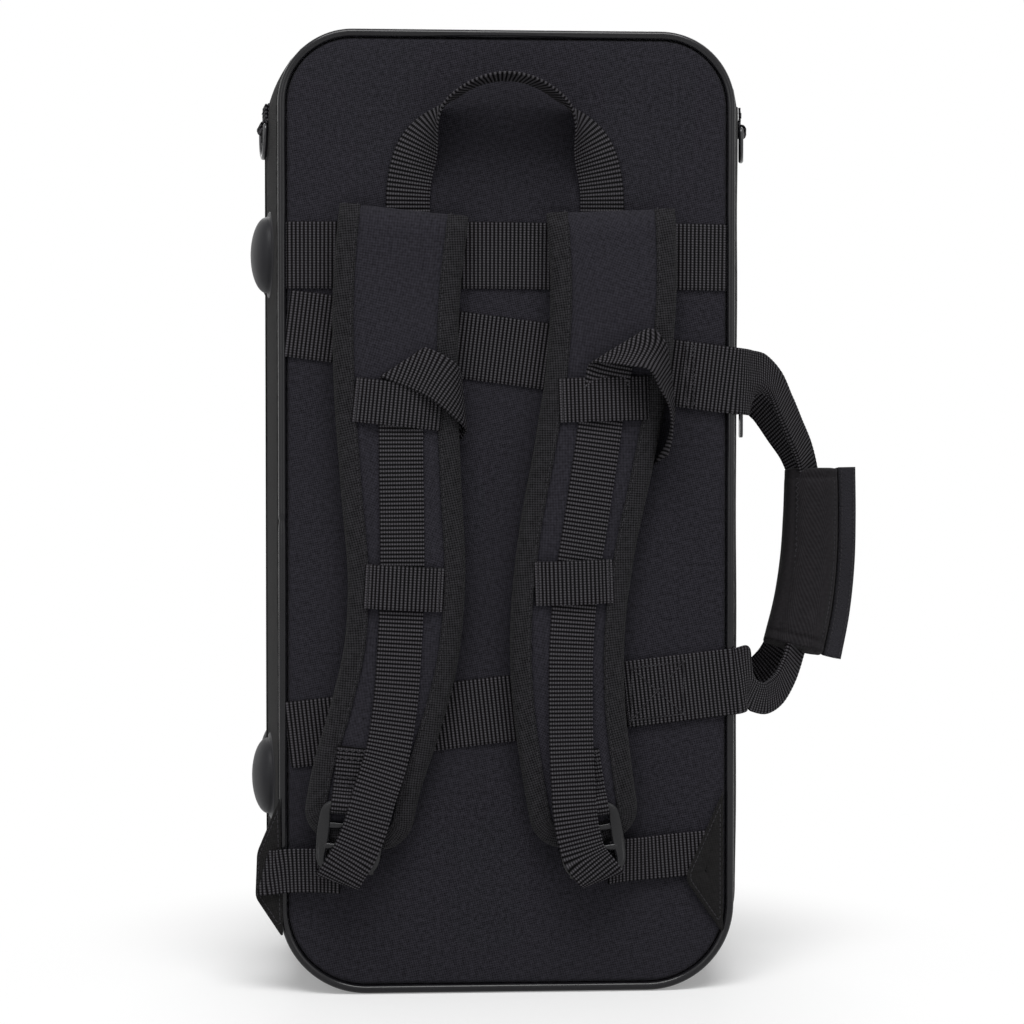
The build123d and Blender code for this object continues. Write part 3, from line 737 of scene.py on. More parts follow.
def mix(tree: Tree, share: object, first: object, second: object) -> Socket:
    """Mixes two colours.

    Args:
        tree: Where the node goes.
        share: Number or socket.
        first: Colour or socket at share 0.
        second: Colour or socket at share 1.

    Returns:
        The mixed colour.
    """
    node = tree.nodes.new("ShaderNodeMix")
    node.data_type = "RGBA"
    feed(tree, share, node.inputs[0])
    for colour, target in ((first, node.inputs[6]), (second, node.inputs[7])):
        feed(tree, colour if isinstance(colour, Socket) else (*colour, 1.0), target)
    return node.outputs[2]


def shade(colour: Sequence[float], factor: float) -> tuple[float, ...]:
    """A colour made lighter or darker."""
    return tuple(min(1.0, channel * factor) for channel in colour)


class Finish:
    """One finish: a material with its shader and the way to its places."""

    def __init__(self, name: str, uv: bool) -> None:
        """Starts a material whose places are on the cut cloth or in space.

        Args:
            name: Name of the material.
            uv: Whether the place is from the cloth map.
        """
        self.material = bpy.data.materials.new(name)
        self.material.use_nodes = True
        self.tree = self.material.node_tree
        self.shader = self.tree.nodes["Principled BSDF"]
        coordinates = self.tree.nodes.new("ShaderNodeTexCoord")
        self.place = coordinates.outputs["UV" if uv else "Object"]
        self.space = coordinates.outputs["Object"]

    def cover(self, colour: Socket, rough: Socket, height: Socket, depth: float,
              strength: float = 1.0) -> None:
        """Feeds the shader.

        Args:
            colour: Its base colour.
            rough: Its roughness.
            height: Relief that bends its normal.
            depth: Depth of the relief.
            strength: How much of the relief shows.
        """
        relief = self.tree.nodes.new("ShaderNodeBump")
        pairs = ((depth, relief.inputs["Distance"]), (strength, relief.inputs["Strength"]),
                 (height, relief.inputs["Height"]),
                 (relief.outputs[0], self.shader.inputs["Normal"]),
                 (colour, self.shader.inputs["Base Color"]),
                 (rough, self.shader.inputs["Roughness"]))
        for value, target in pairs:
            feed(self.tree, value, target)

    def set(self, **values: float) -> None:
        """Sets constants on the shader's sockets, with underscores for spaces."""
        for key, value in values.items():
            self.shader.inputs[key.replace("_", " ")].default_value = value


@dataclass(frozen=True)
class WovenCloth:
    """Woven polyester with its threads, lint and handling."""

    name: str
    colour: Colour
    pitch: float = 0.0017
    lay: Lay = Lay.TWILL
    depth: float = 0.00018
    roughness: float = 0.9
    sheen: float = 0.03
    contrast: float = 0.95

    def build(self) -> Material:
        """Builds the material.

        Returns:
            The finished material.
        """
        finish = Finish(self.name, uv=True)
        tree = finish.tree
        threads = effect(tree, thread_group, finish.place, Pitch=self.pitch, Slant=self.lay.value,
                         Unevenness=0.9)
        wear = effect(tree, wear_group, finish.space)
        low, high = 1 - self.contrast, 1 + self.contrast
        base = mix(tree, threads.outputs["Shade"], shade(self.colour, low),
                   shade(self.colour, high))
        worn = mix(tree, times(tree, wear.outputs["Mask"], 0.12), base, shade(self.colour, 1.5))
        lint = mix(tree, times(tree, wear.outputs["Lint"], 0.06), worn, shade(self.colour, 4))
        rough = scaled(tree, wear.outputs["Mask"], -0.05, self.roughness)
        finish.cover(lint, rough, threads.outputs["Height"], self.depth)
        finish.set(Sheen_Weight=self.sheen, Sheen_Roughness=0.5, Specular_IOR_Level=0.12, IOR=1.3)
        return finish.material


@dataclass(frozen=True)
class RibbedWebbing:
    """Heavy nylon webbing with ribs across it."""

    name: str
    colour: Colour
    yarns: float = 680.0
    depth: float = 0.00045
    roughness: float = 0.6
    sheen: float = 0.0

    def build(self) -> Material:
        """Builds the material.

        Returns:
            The finished material.
        """
        finish = Finish(self.name, uv=True)
        tree = finish.tree
        ribs = effect(tree, rib_group, finish.place, Yarns_per_metre=self.yarns, Groove=2.5)
        wear = effect(tree, wear_group, finish.space, Patch=22.0)
        # Painted light: near black in the grooves for painted shade, nearly five times the
        # webbing's colour on the crests for a painted highlight.
        base = mix(tree, ribs.outputs["Shade"], shade(self.colour, 0.02), shade(self.colour, 4.8))
        worn = mix(tree, times(tree, wear.outputs["Mask"], 0.08), base, shade(self.colour, 1.6))
        rough = scaled(tree, ribs.outputs["Shade"], -0.15, self.roughness + 0.15)
        finish.cover(worn, rough, ribs.outputs["Height"], self.depth)
        finish.set(Sheen_Weight=self.sheen, Sheen_Roughness=0.4, Specular_IOR_Level=0.08, IOR=1.3)
        return finish.material


@dataclass(frozen=True)
class PileCloth:
    """Short plush, or the loops of a fastening tape."""

    name: str
    colour: Colour
    scale: float = 1400.0
    depth: float = 0.0006
    sheen: float = 0.5

    def build(self) -> Material:
        """Builds the material.

        Returns:
            The finished material.
        """
        finish = Finish(self.name, uv=False)
        tree = finish.tree
        pile = noise(tree, finish.place, self.scale, 2.0, 0.7)
        wear = effect(tree, wear_group, finish.place, Patch=18.0)
        base = mix(tree, pile, shade(self.colour, 0.35), shade(self.colour, 1.9))
        brushed = mix(tree, times(tree, wear.outputs["Mask"], 0.5), base, shade(self.colour, 1.7))
        finish.cover(brushed, scaled(tree, pile, 0.1, 0.85), pile, self.depth)
        finish.set(Sheen_Weight=self.sheen, Sheen_Roughness=0.35, Specular_IOR_Level=0.2)
        return finish.material


@dataclass(frozen=True)
class MouldedPlastic:
    """Moulded plastic, from satin to gloss, with a fine grain and worn high spots."""

    name: str
    colour: Colour
    roughness: float
    grain: float = 700.0
    depth: float = 0.00005
    coat: float = 0.0
    metallic: float = 0.0
    specular: float = 0.3

    def build(self) -> Material:
        """Builds the material.

        Returns:
            The finished material.
        """
        finish = Finish(self.name, uv=False)
        tree = finish.tree
        grain = noise(tree, finish.place, self.grain, 3.0)
        wear = effect(tree, wear_group, finish.place, Patch=60.0)
        base = mix(tree, times(tree, wear.outputs["Mask"], 0.4), self.colour,
                   shade(self.colour, 1.8))
        grained = mix(tree, times(tree, grain, 0.3), base, shade(self.colour, 0.6))
        uneven = scaled(tree, wear.outputs["Mask"], 0.08, self.roughness)
        finish.cover(grained, scaled(tree, grain, 0.06, uneven), grain, self.depth, 0.6)
        finish.set(Coat_Weight=self.coat, Coat_Roughness=0.12, Metallic=self.metallic,
                   Specular_IOR_Level=self.specular)
        return finish.material


@dataclass(frozen=True)
class Palette:
    """Every finish of the case, by the piece that wears it."""

    panel: WovenCloth = WovenCloth("panel_weave", (0.0150, 0.0143, 0.0182))
    # The side cloth is a third darker than the panel cloth as painted shade on the side walls; the
    # spine and the corner tabs wear it too.
    side: WovenCloth = WovenCloth("side_weave", (0.0100, 0.0096, 0.0098), contrast=0.6)
    pad: WovenCloth = WovenCloth("pad_weave", (0.0168, 0.0160, 0.0205), pitch=0.0015)
    grip: WovenCloth = WovenCloth("grip_weave", (0.0138, 0.0128, 0.0142), pitch=0.0013,
                                  contrast=0.6)
    tape: WovenCloth = WovenCloth("binding_twill", (0.0142, 0.0138, 0.0152), pitch=0.0024,
                                  depth=0.0004)
    zip_tape: WovenCloth = WovenCloth("zip_weave", (0.012, 0.012, 0.013), pitch=0.0013,
                                      lay=Lay.PLAIN)
    webbing: RibbedWebbing = RibbedWebbing("ribbed_webbing", (0.0156, 0.0149, 0.0165))
    plush: PileCloth = PileCloth("plush_pile", (0.030, 0.030, 0.034))
    hook: PileCloth = PileCloth("hook_pile", (0.010, 0.0095, 0.012), scale=900.0, depth=0.001,
                                sheen=0.05)
    foam: PileCloth = PileCloth("foam_cells", (0.27, 0.27, 0.28), scale=2200.0, depth=0.0003,
                                sheen=0.0)
    piping: MouldedPlastic = MouldedPlastic("piping_gloss", (0.006, 0.0058, 0.0070), 0.13,
                                            specular=0.26)
    foot: MouldedPlastic = MouldedPlastic("foot_satin", (0.010, 0.010, 0.012), 0.42, specular=0.2)
    buckle: MouldedPlastic = MouldedPlastic("buckle_acetal", (0.005, 0.005, 0.006), 0.16,
                                            specular=0.3)
    thread: MouldedPlastic = MouldedPlastic("sewing_thread", (0.030, 0.029, 0.032), 0.8,
                                            grain=3000.0, specular=0.05)
    coil: MouldedPlastic = MouldedPlastic("zip_coil", (0.010, 0.010, 0.011), 0.45, specular=0.2)
    lacquer: MouldedPlastic = MouldedPlastic("black_lacquer", (0.014, 0.014, 0.016), 0.28, coat=0.6,
                                             metallic=0.4)


class Wardrobe:
    """Builds each finish once and hands out its material."""

    def __init__(self, palette: Palette) -> None:
        """Keeps the palette."""
        self.palette = palette
        self.made: dict[str, Material] = {}

    def __getitem__(self, name: str) -> Material:
        """The material of a named finish."""
        if name not in self.made:
            self.made[name] = getattr(self.palette, name).build()
        return self.made[name]


# --- case body
@dataclass
class CaseForm:
    """Outer form of the case: flared walls, flat foot, rounded corners."""

    panel_width: float = 0.262
    panel_height: float = 0.552
    side_flare: float = 0.013
    top_flare: float = 0.009
    back_depth: float = 0.082
    lid_depth: float = 0.072
    top_corner: float = 0.043
    bottom_corner: float = 0.050
    panel_rise: float = 0.0025
    piping: float = 0.0024
    seam: float = 0.0003
    edge_sink: float = 0.0014
    edge_round: float = 0.0024
    puff: float = 0.00022
    zip_reach: float = 0.012
    step: float = 0.003
    stations: list[tuple[int, float]] = field(default_factory=list)

    def __post_init__(self) -> None:
        """Lays out the stations round the outline, alike at every depth."""
        spans = (self.panel_width, self.bottom_corner * 1.8, self.panel_height,
                 self.top_corner * 1.8,
                 self.panel_width, self.top_corner * 1.8, self.panel_height,
                 self.bottom_corner * 1.8)
        for part, span in enumerate(spans):
            count = max(8, int(span / self.step))
            self.stations += [(part, spot / count) for spot in range(count)]

    def depth_of(self, half: Half) -> float:
        """Depth of one half at its panel."""
        return self.back_depth if half is Half.BACK else self.lid_depth

    def face(self, half: Half) -> float:
        """Distance of the outer face of a panel from the split."""
        return self.depth_of(half) + self.panel_rise

    def outline(self, half: Half, depth: float, inset: Points | float) -> tuple[Points, Points]:
        """Outline at a depth from the split.

        Args:
            half: Which half.
            depth: Distance from the split, unsigned.
            inset: How far it is set in from the outer cloth, or one for each station.

        Returns:
            The points and their directions out of the case.
        """
        flare = 1 - depth / self.depth_of(half)
        wide = self.panel_width / 2 + self.side_flare * flare
        top = self.panel_height + self.top_flare * flare
        high = self.top_corner + self.side_flare * flare
        low = self.bottom_corner + self.side_flare * flare
        corners = {1: (wide - low, low, low, -90), 3: (wide - high, top - high, high, 0),
                   5: (-wide + high, top - high, high, 90), 7: (-wide + low, low, low, 180)}
        runs = {0: ((-wide + low, 0), (wide - low, 0), (0, -1)),
                2: ((wide, low), (wide, top - high), (1, 0)),
                4: ((wide - high, top), (-wide + high, top), (0, 1)),
                6: ((-wide, top - high), (-wide, low), (-1, 0))}
        spots, ways = [], []
        for part, share in self.stations:
            if part in runs:
                first, last, way = (np.array(each, float) for each in runs[part])
                spots.append(first + (last - first) * share)
            else:
                x, z, radius, start = corners[part]
                turn = radians(start + 90 * share)
                way = np.array((cos(turn), sin(turn)))
                spots.append(np.array((x, z)) + way * radius)
            ways.append(way)
        flat, out = np.array(spots), np.array(ways)
        flat = flat - out * np.broadcast_to(np.asarray(inset, float), (len(flat),))[:, None]
        depths = np.full(len(flat), half.value * depth)
        points = np.column_stack([flat[:, 0], depths, flat[:, 1]])
        return points, np.column_stack([out[:, 0], np.zeros(len(out)), out[:, 1]])

    def edge_distance(self, x: Points, z: Points) -> Points:
        """Distance of places on a panel from its outer edge.

        Args:
            x: Distances to the side of the middle.
            z: Heights above the foot.

        Returns:
            Distance at each place.
        """
        inset = 2 * self.piping + self.seam
        wide, top = self.panel_width / 2 - inset, self.panel_height - inset
        middle = (top + inset) / 2
        tall = (top - inset) / 2
        radius = np.where(z > middle, self.top_corner, self.bottom_corner) - inset
        dx = np.abs(x) - (wide - radius)
        dz = np.abs(z - middle) - (tall - radius)
        outside = np.sqrt(np.maximum(dx, 0) ** 2 + np.maximum(dz, 0) ** 2)
        return radius - outside - np.minimum(np.maximum(dx, dz), 0)

    def surface(self, half: Half, x: Points, z: Points) -> Points:
        """Distance of the padded panel's surface from the split.

        Args:
            half: The half of the case.
            x: Distances to the side.
            z: Heights.

        Returns:
            Distance at each place.
        """
        gap = np.maximum(self.edge_distance(x, z), 0)
        soft = self.edge_sink * np.exp(-gap / 0.011)
        near = np.clip(1 - gap / self.edge_round, 0, 1)
        corner = self.edge_round * (1 - np.sqrt(1 - near**2))
        puff = self.puff * ripple(x, z, 0.085, 5 + half.value)
        return self.face(half) - soft - corner - 0.0003 + puff * ease(gap / 0.02)

    def on_panel(self, half: Half, x: Points, z: Points, lift: Points | float = 0.0) -> Points:
        """Points at a lift above a panel.

        Args:
            half: The half of the case.
            x: Distances to the side.
            z: Heights.
            lift: Height above the surface.

        Returns:
            One row for each point.
        """
        x, z = np.broadcast_arrays(np.asarray(x, float), np.asarray(z, float))
        y = half.value * (self.surface(half, x, z) + lift)
        return np.stack([x, y, z], -1)


@dataclass
class Workshop:
    """Form and finishes that each sub-assembly is made with."""

    form: CaseForm
    dress: Wardrobe

    def webbing(self, name: str, line: Points, across: Points, size: tuple[float, float],
                **way: object) -> Piece:
        """Makes webbing along a line.

        Args:
            name: Name of the piece.
            line: Points of its middle line.
            across: Direction across it, or one for each point.
            size: Its width and thickness.
            way: Further settings of its ribs and folds.

        Returns:
            The piece, not yet on a body.
        """
        kit = MeshKit()
        ribbon(kit, line, across, *size, **way)
        return kit.make(name, self.dress["webbing"])

    def sew(self, kit: MeshKit, name: str, body: str, slot: str) -> None:
        """Makes the stitches of a kit one piece on a body."""
        settle(kit.make(f"{name}_stitches", self.dress["thread"]), body)


@dataclass
class CaseBody(Workshop):
    """Side cloth, panels, piping, lining and zip of both halves."""

    cloth: float = 0.0011
    plush: float = 0.0009
    slack: float = 0.0011
    pucker: float = 0.00028
    pucker_pitch: float = 0.0115
    spine_low: float = 0.065
    spine_high: float = 0.503
    spine_reach: float = 0.0165
    spine_cloth: float = 0.0009
    coil_pitch: float = 0.0016
    coil_wire: float = 0.00034
    butt_height: float = 0.271

    def around(self, half: Half) -> Points:
        """Distance round the outline at each station."""
        loop, _ = self.form.outline(half, self.form.zip_reach, 0)
        return run_length(loop)

    def build(self) -> None:
        """Builds both halves."""
        for half in Half:
            self.gusset(half)
            self.panel(half)
            self.piping(half)
            self.lining(half)
            self.zip_tape(half)
            self.zip_teeth(half)
            self.edge_stitches(half)
        self.spine()

    def wall_points(self, half: Half, depth: float, inset: float, soft: float) -> Points:
        """A row of the side cloth with its slack.

        Args:
            half: Which half.
            depth: Distance from the split.
            inset: How far the row is set in.
            soft: Share of slack, 0 at the seams.

        Returns:
            The points of the row.
        """
        form = self.form
        points, out = form.outline(half, depth, inset)
        around = self.around(half)
        seam = form.depth_of(half) - form.piping - form.seam
        near = np.exp(-abs(seam - depth) / 0.009)
        wave = around * 2 * pi / self.pucker_pitch + 2 * ripple(around, around * 0, 0.09, 3)
        pucker = self.pucker * near * np.sin(wave)
        uneven = ripple(around, depth + 0 * around, 0.12, 11 + half.value)
        slack = self.slack * soft * (1 + 0.5 * uneven)
        swell = slack + pucker * (soft > 0)
        swell = np.where(out[:, 2] < -0.05, np.minimum(swell, 0) * 0.3, swell)
        points = points + out * swell[:, None]
        points[:, 2] = np.maximum(points[:, 2], 0.0)
        return points

    def gusset(self, half: Half) -> None:
        """Side cloth from the zip to the piping.

        Args:
            half: The half of the case.
        """
        form = self.form
        near, seam = form.zip_reach, form.depth_of(half) - form.piping - form.seam
        rows = [self.wall_points(half, near - 0.0002, 0.0012, 0),
                self.wall_points(half, near - 0.0007, 0.0006, 0),
                self.wall_points(half, near - 0.0004, 0.0, 0)]
        steps = 26
        for step in range(steps + 1):
            share = step / steps
            soft = sin(pi * share) ** 0.7 if 0 < step < steps else 0
            rows.append(self.wall_points(half, near + (seam - near) * share, 0.0, soft))
        rows.append(self.wall_points(half, seam, self.cloth, 0))
        rows.append(self.wall_points(half, (near + seam) / 2, self.cloth, 0))
        around = self.around(half)
        depths = np.array([abs(row[0, 1]) for row in rows])
        uvs = texture(around, depths[:, None])
        kit = MeshKit()
        kit.grid(np.stack(rows), uvs, wrap_rows=True)
        piece = kit.make(f"{half.prefix}_side_cloth", self.dress["side"])
        settle(piece, half.body, [f"{half.prefix}_gusset"])

    def panel(self, half: Half) -> None:
        """Padded panel with soft rounded edges.

        Args:
            half: The half of the case.
        """
        form = self.form
        inset = 2 * form.piping + form.seam
        edge, _ = form.outline(half, form.depth_of(half), inset)
        low, high = form.panel_width / 2, form.panel_height - form.panel_width / 2
        spine = np.column_stack([np.zeros(len(edge)), edge[:, 1], np.clip(edge[:, 2], low, high)])
        span = np.linalg.norm(edge - spine, axis=1).mean()
        gaps = np.concatenate([np.linspace(0, 0.003, 9), np.linspace(0.005, 0.03, 10),
                               np.linspace(0.037, span, 15)])
        rows = [edge + np.array([0, -half.value * (form.panel_rise + form.piping), 0])]
        for gap in gaps:
            share = 1 - gap / span
            flat = spine + (edge - spine) * share
            rows.append(form.on_panel(half, flat[:, 0], flat[:, 2]))
        stack = np.stack(rows)
        kit = MeshKit()
        kit.grid(stack, stack[..., [0, 2]], wrap_ring=True, caps=False)
        under = rows[0]
        kit.grid(np.stack([under, under * 0.5 + spine * 0.5 + (under - edge) * 0.5]),
                 stack[:2][..., [0, 2]], caps=False)
        piece = kit.make(f"{half.prefix}_padded_panel", self.dress["panel"])
        settle(piece, half.body, [f"{half.prefix}_panel"])

    def piping(self, half: Half) -> None:
        """Glossy piping with the butt of its ends in the left side, and its sewn tape.

        Args:
            half: The half of the case.
        """
        form = self.form
        line, _ = form.outline(half, form.depth_of(half), form.piping)
        gap = np.where(line[:, 0] < -form.panel_width / 4, np.abs(line[:, 2] - self.butt_height),
                       1.0)
        radius = form.piping * (1 - 0.3 * np.exp(-((gap / 0.0012) ** 2)))
        kit = MeshKit()
        tube(kit, line, radius, closed=True, around=16)
        name = f"{half.prefix}_piping"
        piece = kit.make(f"{name}_cord", self.dress["piping"])
        settle(piece, half.body, [name])
        seam = MeshKit()
        section = ((0.0026, 0.0005), (0.0022, 0.0058), (0.0030, 0.0058), (0.0034, 0.0005))
        rows = [form.outline(half, form.depth_of(half) - depth, inset)[0] for depth,
                inset in section]
        uvs = texture(self.around(half), np.arange(4)[:, None] * 0.004)
        seam.grid(np.stack(rows), uvs, wrap_rows=True)
        tape = seam.make(f"{name}_tape", self.dress["tape"])
        settle(tape, half.body)

    def lining(self, half: Half) -> None:
        """Plush glued inside, rolled over the edge of the foam tray.

        Args:
            half: The half of the case.
        """
        form = self.form
        floor = form.depth_of(half) - form.piping - form.seam - 0.008
        profile = [(0.0006, 0.0052), (0.0003, 0.0070), (0.0008, 0.0088)]
        rows = [form.outline(half, depth, inset)[0] for depth, inset in profile]
        for share in np.linspace(0.05, 1, 14):
            rows.append(form.outline(half, floor * share - self.plush * 0.5, 0.0101)[0])
        edge = form.outline(half, floor - self.plush, 0.0115)[0]
        low, high = form.panel_width / 2, form.panel_height - form.panel_width / 2
        spine = np.column_stack([np.zeros(len(edge)), edge[:, 1], np.clip(edge[:, 2], low, high)])
        rows += [spine + (edge - spine) * share for share in (1.0, 0.8, 0.5, 0.2, 0.0)]
        stack = np.stack(rows)
        kit = MeshKit()
        kit.grid(stack, stack[..., [0, 2]], caps=False)
        name = f"{half.prefix}_lining"
        piece = kit.make(f"{name}_plush", self.dress["plush"])
        thicken(piece, self.plush)
        settle(piece, half.body, [name])

    def zipped(self) -> Points:
        """Which stations lie outside the gap that the cloth spine fills."""
        line, _ = self.form.outline(Half.BACK, self.form.zip_reach, 0)
        return ~((line[:, 0] < -self.form.panel_width / 3) & (line[:, 2] > self.spine_low - 0.018)
                 & (line[:, 2] < self.spine_high + 0.018))

    def open_run(self, half: Half, depth: float, inset: float) -> tuple[Points, Points]:
        """Points of a row from one end of the zip to the other, and their ways out.

        Args:
            half: The half of the case.
            depth: Depth from the panel.
            inset: How far it is moved in.

        Returns:
            Points of the row and directions out of it.
        """
        line, out = self.form.outline(half, depth, inset)
        kept = self.zipped()
        first = int(np.argmax(kept & ~np.roll(kept, 1)))
        order = np.roll(np.arange(len(line)), -first)
        order = order[kept[order]]
        return line[order], out[order]

    def zip_tape(self, half: Half) -> None:
        """Woven tape of the zip beside its coil.

        Args:
            half: The half of the case.
        """
        section = ((0.0008, 0.0034), (0.0008, 0.0027), (0.0110, 0.0026), (0.0124, 0.0030),
                   (0.0124, 0.0036), (0.0110, 0.0034))
        stack = np.stack([self.open_run(half, *place)[0] for place in section], axis=1)
        length = run_length(stack[:, 0])
        uvs = texture(length[:, None], np.arange(6) * 0.003)
        kit = MeshKit()
        kit.grid(stack, uvs)
        name = f"{half.prefix}_zip_tape"
        piece = kit.make(f"{name}_weave", self.dress["zip_tape"])
        settle(piece, half.body, [name])

    def zip_teeth(self, half: Half) -> None:
        """Coil of the zip, one loop for each tooth, its halves set to mesh.

        Args:
            half: The half of the case.
        """
        line, out = self.open_run(half, 0.0015, 0.0021)
        rows = respaced(np.concatenate([line, out], 1), self.coil_pitch)
        if half is Half.LID:
            rows = (rows[1:] + rows[:-1]) / 2
        middle, away = rows[:, :3], unit(rows[:, 3:])
        run = tangents(middle)
        inward = np.array([0.0, -half.value, 0.0])
        turn = np.linspace(0, 2 * pi, 9)
        kit = MeshKit()
        loop = np.column_stack([0.00115 * np.cos(turn), 0.00075 * np.sin(turn),
                                0.0003 * np.cos(turn / 2)])
        for spot in range(len(middle)):
            path = middle[spot] + loop[:, :1] * inward
            path = path + loop[:, 1:2] * away[spot] + loop[:, 2:] * run[spot]
            tube(kit, path, self.coil_wire, around=5)
        piece = kit.make(f"{half.prefix}_zip_coil", self.dress["coil"])
        settle(piece, half.body)

    def edge_stitches(self, half: Half) -> None:
        """Rows of stitches along the zip tape.

        Args:
            half: The half of the case.
        """
        kit = MeshKit()
        for depth in (0.0142, 0.0168):
            line, out = self.open_run(half, depth, -0.0003)
            stitches(kit, line, out, sink=0.9)
        self.sew(kit, f"{half.prefix}_zip", half.body, "side_cloth")

    def spine(self) -> None:
        """Cloth spine that both halves turn on."""
        form = self.form
        heights = np.arange(self.spine_low - 0.012, self.spine_high + 0.012, 0.004)
        places = np.linspace(-self.spine_reach, self.spine_reach, 25)
        rim = form.panel_width / 2 + form.side_flare
        rows = []
        for z in heights:
            depth = np.abs(places)
            span = np.where(places < 0, form.back_depth, form.lid_depth)
            wall = rim - form.side_flare * depth / span
            lift = np.where(depth < 0.013, -0.0012 + 0.0008 * ease((depth - 0.010) / 0.003), 0.0006)
            wave = 0.00025 * ripple(places * 0 + z, places, 0.05, 8) * ease((0.012 - depth) / 0.008)
            rows.append(np.column_stack([-(wall + lift + wave), places, np.full(len(places), z)]))
        stack = np.stack(rows)
        kit = MeshKit()
        kit.grid(stack, stack[..., [2, 1]], wrap_ring=False)
        piece = kit.make("cloth_spine", self.dress["side"])
        thicken(piece, self.spine_cloth)
        join_bodies(piece, "case_back", (-rim, -0.005, 0.28), (-rim, 0.005, 0.28),
                    ["back_hinge_strip", "lid_hinge_strip"])


def thicken(piece: Piece, thickness: float, offset: float = 0) -> None:
    """Gives a skin its thickness, half on each side or all outside at offset 1.

    Args:
        piece: The piece.
        thickness: Thickness of the cloth.
        offset: Side that it grows to.
    """
    shell = piece.modifiers.new("thickness", "SOLIDIFY")
    shell.thickness = thickness
    shell.offset = offset
    apply_modifiers(piece)


def apply_modifiers(piece: Piece) -> None:
    """Turns a piece's modifiers into its mesh.

    Args:
        piece: The piece.
    """
    bpy.context.view_layer.update()
    graph = bpy.context.evaluated_depsgraph_get()
    made = bpy.data.meshes.new_from_object(piece.evaluated_get(graph), depsgraph=graph)
    piece.modifiers.clear()
    piece.data = made


# --- webbing on the panels
@dataclass
class BandSpec:
    """A band sewn across a panel: its height at the left and right edges."""

    name: str
    half: Half
    left: float
    right: float


BANDS = (
    BandSpec("top_band", Half.BACK, 0.423, 0.423),
    BandSpec("upper_handle_band", Half.BACK, 0.385, 0.352),
    BandSpec("lower_handle_band", Half.BACK, 0.1485, 0.179),
    BandSpec("lid_upper_band", Half.LID, 0.385, 0.352),
    BandSpec("lid_lower_band", Half.LID, 0.1485, 0.179),
)


